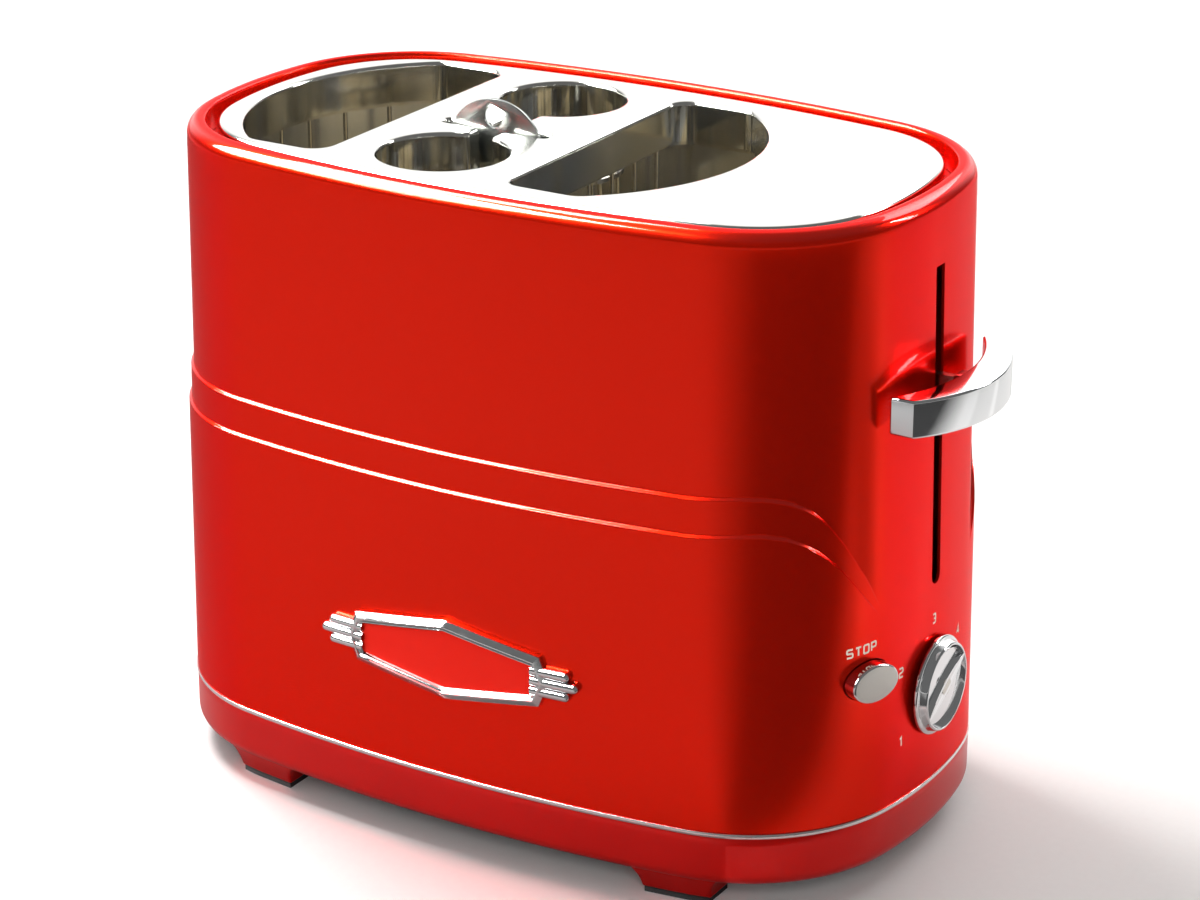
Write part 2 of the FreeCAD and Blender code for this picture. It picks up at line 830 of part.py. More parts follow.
def make_badge_frame():
    seat = mm("seat_gap") / 2
    border, backing = mm("badge_border"), mm("badge_backing")
    frame = front_prism(badge_outline(0)).cut(front_prism(badge_outline(border)))
    frame = frame.common(front_layer(seat, mm("badge_thickness")))
    lapped = badge_outline(border - mm("badge_backing_lap"))
    frame = frame.fuse(front_prism(lapped).common(front_layer(seat, backing)))
    for side in (-1, 1):
        for bar in bars(side):
            frame = frame.fuse(bar.common(front_layer(seat, mm("badge_bar_thickness"))))
    for stud in badge_studs(mm("stud_radius")):
        frame = frame.fuse(stud)
    window = front_prism(badge_outline(border)).common(front_layer(backing, mm("half_width")))
    return frame.cut(window).removeSplitter()


solid("badge_frame", make_badge_frame())
inlay_face = badge_outline(mm("badge_border") + mm("shaft_gap"))
inlay_low = mm("badge_backing") + mm("shaft_gap")
inlay_layer = front_layer(inlay_low, inlay_low + mm("inlay_thickness"))
solid("badge_inlay", front_prism(inlay_face).common(inlay_layer))


def bow(outer_x, outer_radius, inner_x, inner_radius, half_span, low, high, side):
    """A crescent seen from above: an outer arc, an inner arc and two flat ends."""
    def arc_x(x, radius, y):
        return x - radius + math.sqrt(radius ** 2 - y ** 2)

    def at(x, y):
        return Vector(side * x, y, low)

    outer_tip = arc_x(outer_x, outer_radius, half_span)
    inner_tip = arc_x(inner_x, inner_radius, half_span)
    edges = [
        Part.Arc(at(outer_tip, -half_span), at(outer_x, 0), at(outer_tip, half_span)).toShape(),
        Part.makeLine(at(outer_tip, half_span), at(inner_tip, half_span)),
        Part.Arc(at(inner_tip, half_span), at(inner_x, 0), at(inner_tip, -half_span)).toShape(),
        Part.makeLine(at(inner_tip, -half_span), at(outer_tip, -half_span)),
    ]
    return Part.Face(Part.Wire(edges)).extrude(Vector(0, 0, high - low))


def make_grip():
    low, high = about("grip_z", mm("grip_height") / 2)
    outer = mm("half_length") - mm("top_inset") + mm("grip_reach")
    root = mm("half_length") - mm("grip_root")
    grip = bow(outer, mm("grip_radius"), root, mm("end_radius"), mm("grip_half_span"), low, high, -1)
    front = [edge for edge in grip.Edges if edge.BoundBox.XMin < mm("tool_margin") - outer]
    grip = grip.makeFillet(mm("grip_edge"), front)
    heights = (low - mm("tool_margin"), high + mm("tool_margin"))
    return grip.cut(oval([(z, shell_inset(z) - mm("seat_gap") / 2) for z in heights]))


solid("end_grip", make_grip())


def make_gland():
    inside, outside = mm("gland_inside"), mm("gland_outside")
    flange = mm("gland_flange")
    gland = gland_tube(mm("gland_radius"), -inside, outside)
    gland = gland.fuse(gland_tube(flange, mm("seat_gap"), outside))
    gland = gland.fuse(gland_tube(flange, -inside, -mm("shell_wall") - mm("seat_gap")))
    return gland.cut(gland_tube(mm("gland_bore"), -2 * inside, 2 * outside))


solid("cord_gland", make_gland())

# Base and chassis ----------------------------------------------------------------------


def make_bottom():
    low = mm("bottom_sheet_z")
    return oval([(z, mm("bottom_inset")) for z in (low, low + mm("bottom_sheet"))]).cut(screw_holes())


solid("bottom_plate", make_bottom())


def make_base_sheet():
    low, high = mm("base_top") - mm("base_sheet"), mm("base_top")
    inset = mm("lip_wall") + mm("shell_wall") + 2 * mm("seat_gap")
    base = oval([(low, inset), (high, inset)])
    tool = (low - mm("tool_margin"), high + mm("tool_margin"))
    for side in (-1, 1):
        base = base.cut(slot_prism(side, 0, *tool))
    half = mm("slot_gap") - mm("drip_opening_margin")
    base = base.cut(block(about("food_x", half), (-mm("slot_half"), mm("slot_half")), tool))
    rod_radius = mm("rod_radius") + mm("shaft_gap")
    rod_hole = Part.makeCylinder(rod_radius, mm("body_height"), Vector(mm("rod_x"), 0, 0))
    return base.cut(screw_holes()).cut(rod_hole)


solid("chassis_base", make_base_sheet())


def screw_group(name, seat, way):
    """Four pan-head screws in the bosses; the heads lie above the seat if way is 1, below if -1."""
    head = sorted((seat, seat + way * mm("screw_head_height")))
    shank = sorted((seat, seat - way * mm("screw_length")))
    heads = at_bosses(mm("screw_head_radius"), *head)
    shanks = at_bosses(mm("screw_radius"), *shank)
    screws = [one.fuse(other).removeSplitter() for one, other in zip(heads, shanks)]
    solid(name, Part.makeCompound(screws))


screw_group("base_screws", mm("bottom_sheet_z"), -1)
screw_group("chassis_screws", mm("base_top"), 1)

arm_slot_x = ("wall_x - tool_margin", "wall_x + base_sheet + tool_margin")
arm_slot_z = ("arm_bottom - travel_down - arm_slot_gap", "rack_bottom + travel_up + arm_slot_gap")
wall_slots = [
    box("arm_slot_front", arm_slot_x, ("-(arm_y + arm_thickness + slide_gap)", "-(arm_y - slide_gap)"), arm_slot_z),
    box("arm_slot_rear", arm_slot_x, ("arm_y - slide_gap", "arm_y + arm_thickness + slide_gap"), arm_slot_z),
]
right_wall = box("right_wall_sheet", ("wall_x", "wall_x + base_sheet"),
                 ("-(reflector_y + sheet_metal)", "reflector_y + sheet_metal"), ("base_top", "wall_top"))
keep("chassis_right_wall", cut("chassis_right_wall", right_wall, *wall_slots))

arc_centre_x = mm("food_x") - (mm("slot_gap") + mm("slot_width") - mm("slot_arc_radius"))
end_reflector_radius = mm("slot_arc_radius") + mm("end_reflector_margin")
reflector_left_x = arc_centre_x - math.sqrt(end_reflector_radius ** 2 - mm("reflector_y") ** 2)


def make_end_reflector():
    outer = end_reflector_radius + mm("sheet_metal")
    height = mm("wall_top") - mm("base_top")
    start = Vector(arc_centre_x, 0, mm("base_top"))
    ring = Part.makeCylinder(outer, height, start).cut(Part.makeCylinder(end_reflector_radius, height, start))
    y = mm("reflector_y") - mm("shaft_gap")
    x = (arc_centre_x - outer, arc_centre_x)
    return ring.common(block(x, (-y, y), (mm("base_top"), mm("wall_top"))))


solid("end_reflector", make_end_reflector())
for name, side in (("front_reflector", -1), ("rear_reflector", 1)):
    y = sorted((side * mm("reflector_y"), side * (mm("reflector_y") + mm("sheet_metal"))))
    x = (reflector_left_x - mm("fuse_overlap"), mm("wall_x"))
    solid(name, block(x, y, (mm("base_top"), mm("wall_top"))))


def make_guide(side):
    """A strip hoop at the bottom and top of a bun's space, and upright wires welded between them."""
    low, high = mm("base_top"), mm("collar_bottom") - mm("seat_gap")
    strip = mm("guide_strip")
    inner, outer = mm("guide_clear"), mm("guide_out")
    parts = []
    for z in (low, high - strip):
        hoop = slot_prism(side, outer, z, z + strip)
        parts.append(hoop.cut(slot_prism(side, inner, z, z + strip)))
    middle = (inner + outer) / 2
    count = int((mm("slot_half") - mm("slot_corner")) // mm("guide_wire_pitch"))
    centre = mm("slot_gap") + mm("slot_width") - mm("slot_arc_radius")
    radius = mm("slot_arc_radius") + middle
    for step in range(-count, count + 1):
        y = step * mm("guide_wire_pitch")
        for u in (mm("slot_gap") - middle, centre + math.sqrt(radius ** 2 - y ** 2)):
            place = Vector(mm("food_x") + side * u, y, low + strip)
            parts.append(Part.makeCylinder(mm("guide_wire") / 2, high - low - 2 * strip, place))
    return Part.makeCompound(parts)


solid("bun_guide_left", make_guide(-1))
solid("bun_guide_right", make_guide(1))

board_low = mm("base_top") + mm("board_bottom_gap")
board_high = mm("body_height") - mm("board_top_margin")
outer_u = mm("slot_gap") + mm("slot_width") + mm("guide_out") + mm("outer_board_gap")
inner_u = mm("slot_gap") - mm("guide_out") - mm("inner_board_gap")
heaters = {
    "left_outer": (-outer_u, mm("outer_board_half"), -1),
    "left_inner": (-inner_u, mm("inner_board_half"), 1),
    "right_inner": (inner_u, mm("inner_board_half"), -1),
    "right_outer": (outer_u, mm("outer_board_half"), 1),
}


def make_heater(label, u, half, side):
    """A mica board on two legs, and the flat ribbon that is wound round it."""
    x = sorted((mm("food_x") + u, mm("food_x") + u + side * mm("board_thickness")))
    margin, leg = mm("board_leg_margin"), mm("board_leg_width") / 2
    mica = block(x, (-half, half), (board_low, board_high))
    for y in (margin - half, half - margin):
        mica = mica.fuse(block(x, (y - leg, y + leg), (mm("base_top"), board_low)))
    solid(f"mica_board_{label}", mica.removeSplitter())
    proud = mm("ribbon_thickness")
    loops = []
    for step in range(int((board_high - board_low - 2 * margin) // mm("ribbon_pitch")) + 1):
        z = board_low + margin + step * mm("ribbon_pitch")
        height = (z, z + mm("ribbon_height"))
        loop = block((x[0] - proud, x[1] + proud), (-half - proud, half + proud), height)
        loops.append(loop.cut(block(x, (-half, half), height)))
    solid(f"heater_ribbon_{label}", Part.makeCompound(loops))


for label, (u, half, side) in heaters.items():
    make_heater(label, u, half, side)

# Carriage ------------------------------------------------------------------------------


def make_rack(side):
    """A flat rack under a bun, with a tab on each arm and round holes for crumbs."""
    low, high = mm("rack_bottom"), mm("rack_top")
    rack = slot_prism(side, -mm("rack_clear"), low, high)
    u = mm("slot_gap") + mm("slot_width") / 2
    x = mm("food_x") + side * u
    half = mm("rack_tab_width") / 2
    reach = mm("arm_y") + mm("arm_thickness")
    rack = rack.fuse(block((x - half, x + half), (-reach, reach), (low, high)))
    pitch = mm("rack_hole_pitch")
    columns = int((mm("slot_width") / 2 - mm("rack_side_margin")) // pitch)
    rows = int((mm("slot_half") - mm("rack_end_margin")) // pitch)
    holes = []
    for i in range(-columns, columns + 1):
        for j in range(-rows, rows + 1):
            place = Vector(x + i * pitch, j * pitch, low)
            holes.append(Part.makeCylinder(mm("rack_hole_radius"), high - low, place))
    return rack.cut(Part.makeCompound(holes)).removeSplitter()


solid("bun_rack_left", make_rack(-1))
solid("bun_rack_right", make_rack(1))

arm_x = ("food_x - slot_gap - slot_width / 2 - rack_tab_width / 2", "cross_bar_x")
arm_z = ("arm_bottom", "rack_bottom")
across = ("-(arm_y + arm_thickness)", "arm_y + arm_thickness")
keep("carriage_arm_front", box("carriage_arm_front", arm_x, (across[0], "-arm_y"), arm_z))
keep("carriage_arm_rear", box("carriage_arm_rear", arm_x, ("arm_y", across[1]), arm_z))
keep("carriage_cross_bar", box("carriage_cross_bar", ("cross_bar_x", "bracket_x"), across, arm_z))
seat_x = ("food_x - cage_seat_width / 2", "food_x + cage_seat_width / 2")
keep("cage_seat", box("cage_seat", seat_x, across, ("rack_bottom", "rack_top")))

web = box("bracket_web", ("bracket_x", "bracket_x + bracket_sheet"),
          ("-bracket_half_width", "bracket_half_width"), ("lower_bush_bottom", "upper_bush_top"))
bush_parts = [web]
neck_y = ("-bush_neck_half", "bush_neck_half")
for name, low, high in (("lower", "lower_bush_bottom", "lower_bush_bottom + bush_height"),
                        ("upper", "upper_bush_bottom", "upper_bush_top")):
    bush_parts.append(rod(f"{name}_bush", "z", ("rod_x", 0), "bush_radius", (low, high)))
    bush_parts.append(box(f"{name}_bush_neck", ("bracket_x + bracket_sheet", "rod_x"), neck_y, (low, high)))
bush_parts.append(box("stem_boss", ("rod_x", "stem_start_x"), neck_y, ("upper_bush_bottom", "upper_bush_top")))
bush_bore = rod("bush_bore", "z", ("rod_x", 0), "rod_radius + shaft_gap",
                ("lower_bush_bottom - tool_margin", "upper_bush_top + tool_margin"))
keep("carriage_bracket", cut("carriage_bracket", fuse("bracket_solid", *bush_parts), bush_bore))

shelf_z = ("body_height - rod_bracket_drop", "body_height - rod_bracket_drop + base_sheet")
shelf_y = ("-rod_bracket_half", "rod_bracket_half")
keep("guide_rod", rod("guide_rod", "z", ("rod_x", 0), "rod_radius",
                      ("base_top - base_sheet", f"{shelf_z[1]} + rod_tip")))
rod_shelf = box("rod_shelf", ("wall_x + base_sheet", "rod_x + rod_bracket_reach"), shelf_y, shelf_z)
rod_flange = box("rod_flange", ("wall_x + base_sheet", "wall_x + 2 * base_sheet"), shelf_y,
                 (f"{shelf_z[0]} - rod_bracket_flange", shelf_z[0]))
rod_hole = rod("rod_bracket_hole", "z", ("rod_x", 0), "rod_radius + shaft_gap",
               (f"{shelf_z[0]} - tool_margin", f"{shelf_z[1]} + tool_margin"))
keep("rod_bracket", cut("rod_bracket", fuse("rod_bracket_sheet", rod_shelf, rod_flange), rod_hole))
keep("lever_stem", box("lever_stem", ("stem_start_x", "lever_inner_x + stem_entry"),
                       ("-stem_thickness / 2", "stem_thickness / 2"), ("stem_bottom", "stem_top")))


def make_spring():
    end = mm("spring_wire") + mm("spring_end_gap")
    low = mm("base_top") + end
    high = mm("lower_bush_bottom") - end
    helix = Part.makeHelix((high - low) / mm("spring_turns"), high - low, mm("spring_radius"))
    start = Part.Wire(Part.makeCircle(mm("spring_wire"), Vector(mm("spring_radius"), 0, 0), Vector(0, 1, 0)))
    coil = Part.Wire(helix.Edges).makePipeShell([start], True, True)
    coil.translate(Vector(mm("rod_x"), 0, low))
    return coil


solid("return_spring", make_spring())


def profile(body, name, role, points):
    """A closed sketch whose corners are set from the sketch's origin by expressions."""
    sketch = body.newObject("Sketcher::SketchObject", name)
    plane = next(item for item in body.Origin.OriginFeatures if item.Role == role)
    sketch.AttachmentSupport = [(plane, "")]
    sketch.MapMode = "FlatFace"
    count = len(points)
    for index in range(count):
        start, end = points[index], points[(index + 1) % count]
        sketch.addGeometry(Part.LineSegment(Vector(*start[:2], 0), Vector(*end[:2], 0)))
    for index in range(count):
        sketch.addConstraint(Sketcher.Constraint("Coincident", index, 2, (index + 1) % count, 1))
    for index, (across, up, across_text, up_text) in enumerate(points):
        for kind, number, text in (("DistanceX", across, across_text), ("DistanceY", up, up_text)):
            place = sketch.addConstraint(Sketcher.Constraint(kind, -1, 1, index, 1, number))
            sketch.setExpression(f"Constraints[{place}]", bound(text))
    return sketch


def corner_point(across_text, up_text):
    """One corner of a sketch: its starting numbers and the expressions that hold it."""
    probe = doc.addObject("App::VarSet", "Corner")
    for letter, text in (("across", across_text), ("up", up_text)):
        probe.addProperty("App::PropertyFloat", letter)
        probe.setExpression(letter, bound(text))
    doc.recompute()
    numbers = (probe.across, probe.up)
    doc.removeObject(probe.Name)
    return (*numbers, across_text, up_text)


def pad(label, role, corners_text, length, offset):
    """A body padded from a polygon sketch; offset moves it along the sketch plane's normal."""
    body = doc.addObject("PartDesign::Body", label)
    sketch = profile(body, label + "_sketch", role, [corner_point(*pair) for pair in corners_text])
    sketch.setExpression("AttachmentOffset.Base.z", bound(offset))
    feature = body.newObject("PartDesign::Pad", label + "_pad")
    feature.Profile = sketch
    feature.setExpression("Length", bound(length))
    sketch.Visibility = False
    body.Tip = feature
    return body


# The E-shaped core stands on its bracket, seen along X.
yoke_low = "magnet_floor + base_sheet"
limb_low = "magnet_floor + base_sheet + core_yoke"
core_corners = [
    ("magnet_y - core_half_width", yoke_low),
    ("magnet_y + core_half_width", yoke_low),
    ("magnet_y + core_half_width", "core_top"),
    ("magnet_y + core_half_width - core_limb", "core_top"),
    ("magnet_y + core_half_width - core_limb", limb_low),
    ("magnet_y + core_middle_half", limb_low),
    ("magnet_y + core_middle_half", "core_top"),
    ("magnet_y - core_middle_half", "core_top"),
    ("magnet_y - core_middle_half", limb_low),
    ("magnet_y - core_half_width + core_limb", limb_low),
    ("magnet_y - core_half_width + core_limb", "core_top"),
    ("magnet_y - core_half_width", "core_top"),
]
keep("magnet_core", pad("magnet_core", "YZ_Plane", core_corners, "core_depth", "magnet_x - core_depth / 2"))


def around(place, *halves):
    """The low and high end, as expressions, of a stretch about a named place."""
    reach = " + ".join(halves)
    return (f"{place} - ({reach})", f"{place} + ({reach})")


seat_across = around("magnet_x", "core_depth / 2", "core_seat_x")
seat_along = around("magnet_y", "core_half_width", "core_seat_y")
seat_corners = [(seat_across[i], seat_along[j]) for i, j in ((0, 0), (1, 0), (1, 1), (0, 1))]
keep("magnet_bracket", pad("magnet_bracket", "XY_Plane", seat_corners, "2 * base_sheet", "base_top"))

coil_z = (f"{limb_low} + coil_end_gap", "core_top - coil_top_gap")
coil_outer = box("coil_outer", around("magnet_x", "core_depth / 2", "coil_wall"),
                 around("magnet_y", "core_middle_half", "coil_wall"), coil_z)
coil_bore = box("coil_bore", around("magnet_x", "core_depth / 2", "seat_gap"),
                around("magnet_y", "core_middle_half", "seat_gap"), coil_z)
keep("magnet_coil", cut("magnet_coil", coil_outer, coil_bore))

keep("armature_plate", box("armature_plate", around("magnet_x", "core_depth / 2", "armature_margin"),
                           around("magnet_y", "core_half_width", "armature_margin"),
                           ("armature_bottom", "latch_floor")))
latch_shelf = box("latch_shelf", ("bracket_x + bracket_sheet", "magnet_x + core_depth / 2"),
                  around("magnet_y", "latch_half_width"), ("latch_floor", "latch_floor + base_sheet"))
latch_flange = box("latch_flange", ("bracket_x + bracket_sheet", "bracket_x + 2 * bracket_sheet"),
                   ("bush_radius + latch_bush_gap", "magnet_y + latch_half_width"),
                   ("latch_floor", "latch_floor + latch_flange"))
keep("latch_arm", fuse("latch_arm", latch_shelf, latch_flange))

# Electrical parts of the bay -------------------------------------------------------------

contact_top = "base_top + contact_height"
leaf_top = "arm_bottom - travel_down - seat_gap"
leaf_y = around("contact_y", "leaf_half_width")
keep("contact_block", box("contact_block", around("contact_x", "contact_half_length"),
                          around("contact_y", "contact_half_width"), ("base_top", contact_top)))
contact_leaves = [
    box("contact_leaf_left", ("contact_x - leaf_reach", "contact_x - leaf_reach + leaf_sheet"), leaf_y,
        (contact_top, leaf_top)),
    box("contact_leaf_right", ("contact_x + leaf_reach - leaf_sheet", "contact_x + leaf_reach"), leaf_y,
        (contact_top, leaf_top)),
    box("contact_leaf_foot", around("contact_x", "leaf_reach"), leaf_y,
        (contact_top, f"{contact_top} + leaf_sheet")),
]
keep("contact_leaves", fuse("contact_leaves", *contact_leaves))
keep("contact_bridge", box("contact_bridge", ("bracket_x", "bracket_x + contact_bridge_reach"),
                           around("contact_y", "contact_bridge_half"),
                           ("arm_bottom", "arm_bottom + contact_bridge_height")))
terminal_x = ("wall_x + terminal_offset", "wall_x + terminal_offset + terminal_width")
terminal_y = ("half_width - terminal_margin - terminal_length", "half_width - terminal_margin")
keep("terminal_block", box("terminal_block", terminal_x, terminal_y,
                           ("base_top", "base_top + terminal_height")))

board_back_x = "circuit_x - standoff_length"
circuit_y = ("circuit_front", "circuit_rear")
standoff_places = [(y, z) for y in ("circuit_front + standoff_margin", "circuit_rear - standoff_margin")
                   for z in ("circuit_bottom + standoff_margin", "circuit_top - standoff_margin")]


def at_standoffs(name, radius, span):
    return [rod(f"{name}_{index}", "x", place, radius, span) for index, place in enumerate(standoff_places)]


bracket_face = box("board_bracket_face", (f"{board_back_x} - base_sheet", board_back_x), circuit_y,
                   ("base_top", "circuit_top"))
bracket_foot = box("board_bracket_foot", (board_back_x, f"{board_back_x} + board_foot_reach"),
                   ("circuit_front + board_foot_margin", "circuit_rear - board_foot_margin"),
                   ("base_top", "base_top + base_sheet"))
standoffs = at_standoffs("standoff", "standoff_radius", (board_back_x, "circuit_x"))
standoff_bores = at_standoffs("standoff_bore", "screw_radius + shaft_gap",
                              (f"{board_back_x} - base_sheet - tool_margin", "circuit_x + tool_margin"))
bracket = fuse("board_bracket_solid", bracket_face, bracket_foot, *standoffs)
keep("board_bracket", cut("board_bracket", bracket, *standoff_bores))
board = box("circuit_sheet", ("circuit_x", "circuit_face"), circuit_y, ("circuit_bottom", "circuit_top"))
board_holes = at_standoffs("board_hole", "screw_radius + shaft_gap",
                           ("circuit_x - tool_margin", "circuit_face + tool_margin"))
keep("control_board", cut("control_board", board, *board_holes))
board_screw_heads = at_standoffs("board_screw_head", "screw_head_radius",
                                 ("circuit_face", "circuit_face + screw_head_height"))
board_screw_shanks = at_standoffs("board_screw", "screw_radius",
                                  ("circuit_face - screw_length", "circuit_face"))
keep("board_screws", fuse("board_screws", *board_screw_heads, *board_screw_shanks))

pot_face = "circuit_face + pot_depth"
pot_y = ("-pot_half", "pot_half")
pot_body = box("pot_body", ("circuit_face", pot_face), pot_y, around("dial_z", "pot_half"))
pot_neck = rod("pot_neck_tube", "x", (0, "dial_z"), "shaft_radius + pot_neck_wall",
               (pot_face, f"{pot_face} + pot_neck"))
pot_bore = rod("pot_bore", "x", (0, "dial_z"), "shaft_radius + shaft_gap",
               ("circuit_face + pot_bore_floor", f"{pot_face} + pot_neck + tool_margin"))
keep("timer_pot", cut("timer_pot", fuse("pot_solid", pot_body, pot_neck), pot_bore))
keep("dial_shaft", rod("dial_shaft", "x", (0, "dial_z"), "shaft_radius",
                       ("circuit_face + pot_bore_floor + seat_gap", "dial_back_x + dial_reach - dial_face")))


def make_dial():
    """A skirted knob with a scoop on each side of a blade that points at its rest angle."""
    back = mm("dial_back_x")
    radius, reach = mm("dial_radius"), mm("dial_reach")
    centre = Vector(back, 0, mm("dial_z"))
    along = Vector(1, 0, 0)
    floor, beyond = mm("dial_skirt"), reach + mm("tool_margin")
    skirt = Part.makeCylinder(radius, floor, centre, along)
    rims = [edge for edge in skirt.Edges if edge.Closed and edge.BoundBox.XMin > back + floor / 2]
    skirt = skirt.makeFillet(mm("dial_skirt_edge"), rims)
    body_radius = mm("dial_body_radius")
    top_radius = body_radius - mm("dial_body_taper")
    body = Part.makeCone(body_radius, top_radius, reach, centre, along)
    scoop_radius = top_radius - mm("dial_rim")
    scoops = Part.makeCone(scoop_radius - mm("dial_scoop_taper"), scoop_radius, beyond - floor,
                           centre + along * floor, along)
    foot, tip = mm("dial_blade_foot") / 2, mm("dial_blade_top") / 2
    side = [(0, foot), (floor, foot), (reach, tip), (beyond, tip)]
    outline = [(x, -y) for x, y in side] + side[::-1]
    corners_of_blade = [Vector(back + x, y, mm("dial_z") - radius) for x, y in outline]
    profile = Part.Face(Part.makePolygon(corners_of_blade + corners_of_blade[:1]))
    blade = profile.extrude(Vector(0, 0, 2 * radius))
    gap = mm("knob_bore_gap")
    bore = Part.makeCylinder(mm("shaft_radius") + gap, reach - mm("dial_face") + gap, centre, along)
    knob = skirt.fuse(body).cut(scoops.cut(blade)).cut(bore)
    knob.rotate(centre, Vector(-1, 0, 0), mm("dial_rest_angle"))
    return knob


solid("dial_knob", make_dial())


def make_button():
    wall = mm("shell_wall")
    cap = oval_button(0, -wall - mm("slide_gap"), mm("button_reach"))
    outer = [edge for edge in cap.Edges if edge.Closed and edge.BoundBox.XMax == cap.BoundBox.XMax]
    cap = cap.makeFillet(mm("button_edge"), outer)
    behind = wall + mm("slide_gap")
    heights = (mm("shell_bottom"), bead_heights[0])
    outside = oval([(z, shell_inset(z) + behind) for z in heights])
    inside = oval([(z, shell_inset(z) + behind + mm("button_flange_sheet")) for z in heights])
    reach = mm("plunger_reach")
    flange = oval_button(mm("button_flange"), -2 * reach, 0).common(outside).cut(inside)
    plunger = Part.makeCylinder(mm("shaft_radius"), reach, Vector(-reach, 0, 0), Vector(1, 0, 0))
    plunger.Placement = button_frame(0).multiply(plunger.Placement)
    return cap.fuse(flange).fuse(plunger).removeSplitter()


solid("stop_button", make_button())


def make_switch():
    """A small switch on the board; its tip stays clear of the pressed button."""
    half = mm("switch_half")
    end = button_frame(-mm("plunger_reach")).Base
    face = end.x - mm("button_travel") - mm("switch_gap") - mm("switch_tip")
    body = block((mm("circuit_face"), face), (end.y - half, end.y + half), about("button_z", half))
    place = Vector(face, end.y, mm("button_z"))
    return body.fuse(Part.makeCylinder(mm("switch_tip_radius"), mm("switch_tip"), place, Vector(1, 0, 0)))


solid("stop_switch", make_switch())

# Lever, from above a crescent. ------------------------------------------------------------


def make_lever():
    low, high = about("lever_z", mm("lever_height") / 2)
    lever = bow(mm("lever_outer_x"), mm("lever_radius"), mm("lever_inner_x"), mm("lever_inner_radius"),
                mm("lever_half_span"), low, high, 1)
    lever = lever.makeFillet(mm("lever_edge"), lever.Edges)
    half, wall = mm("lever_boss_half"), mm("lever_boss_wall")
    boss = block(about("lever_inner_x", mm("lever_boss_depth")), (-half, half),
                 (mm("stem_bottom") - wall, mm("stem_top") + wall))
    gap = mm("shaft_gap")
    half = mm("stem_thickness") / 2 + gap
    pocket = block((mm("half_length"), mm("lever_inner_x") + mm("stem_entry") + gap), (-half, half),
                   (mm("stem_bottom") - gap, mm("stem_top") + gap))
    return lever.fuse(boss).cut(pocket).removeSplitter()


solid("lever_handle", make_lever())

# Hot dog cage -------------------------------------------------------------------------------


basket_ring_radius = mm("basket_radius") + mm("basket_wire") / 2 + mm("basket_ring_wall")


def make_basket(y):
    """A floor, upright wires on it and two flat rings welded round the wires."""
    low, high = mm("cage_floor"), mm("basket_top")
    radius = mm("basket_radius")
    wire = mm("basket_wire") / 2
    centre = Vector(mm("food_x"), y, low)
    floor_top = low + mm("basket_floor")
    floor = Part.makeCylinder(radius + wire, mm("basket_floor"), centre)
    parts = [floor.cut(Part.makeCylinder(mm("basket_floor_hole"), mm("basket_floor"), centre))]
    for z in ((low + high) / 2, high - 2 * wire):
        place = Vector(centre.x, y, z)
        ring = Part.makeCylinder(basket_ring_radius, 2 * wire, place)
        parts.append(ring.cut(Part.makeCylinder(radius + wire, 2 * wire, place)))
    count = int(mm("basket_wires"))
    for step in range(count):
        angle = 2 * math.pi * (step + 0.5) / count
        place = Vector(centre.x + radius * math.cos(angle), y + radius * math.sin(angle), floor_top)
        parts.append(Part.makeCylinder(wire, high - floor_top, place))
    return parts


def make_cage():
    """Two baskets joined by a strap between their upper rings."""
    low, high = mm("basket_top") - mm("strap_height"), mm("basket_top")
    strap = block(about("food_x", mm("strap_width") / 2), (-mm("hole_y"), mm("hole_y")), (low, high))
    parts = []
    for y in (-mm("hole_y"), mm("hole_y")):
        parts += make_basket(y)
        strap = strap.cut(Part.makeCylinder(basket_ring_radius, high - low, Vector(mm("food_x"), y, low)))
    return Part.makeCompound([strap, *parts])


solid("hot_dog_cage", make_cage())


def make_tab():
    """The tab that lifts the cage out: a disc segment with a round hole, on the strap."""
    y = about("tab_y", mm("tab_thickness") / 2)
    radius = mm("tab_radius")
    low = mm("tab_centre_z") - mm("tab_segment_drop")
    along = Vector(0, 1, 0)

    def disc(disc_radius, z):
        return Part.makeCylinder(disc_radius, y[1] - y[0], Vector(mm("food_x"), y[0], z), along)

    cap = block(about("food_x", radius), y, (low, mm("tab_centre_z") + radius))
    segment = disc(radius, mm("tab_centre_z")).common(cap)
    neck = block(about("food_x", mm("tab_neck_half")), y, (mm("basket_top"), mm("tab_centre_z")))
    hole = disc(mm("tab_hole_radius"), mm("plate_top") + mm("tab_hole_rise"))
    return segment.fuse(neck).cut(hole).removeSplitter()


solid("cage_tab", make_tab())

# Drip tray ------------------------------------------------------------------------------------


def make_tray():
    x = about("food_x", mm("tray_half_length"))
    wall = mm("tray_wall")
    y = (mm("tray_front_y"), mm("half_width"))
    z = (mm("tray_floor_z"), mm("tray_top"))
    pan = block(x, y, z).common(oval([(z[0], mm("skirt_wall")), (z[1], mm("skirt_wall"))]))
    hollow = block((x[0] + wall, x[1] - wall), (y[0] + wall, y[1]), (z[0] + wall, z[1]))
    inset = mm("skirt_wall") + wall
    return pan.cut(hollow.common(oval([(z[0], inset), (z[1], inset)])))


solid("drip_tray", make_tray())


def make_tray_front():
    """The piece of the skirt's wall that closes the tray's window."""
    inside = oval([(z, mm("skirt_wall")) for z in (mm("skirt_bottom"), mm("skirt_top"))])
    return oval(skirt_levels(0)).cut(inside).common(tray_window(mm("seat_gap")))


solid("drip_tray_front", make_tray_front())

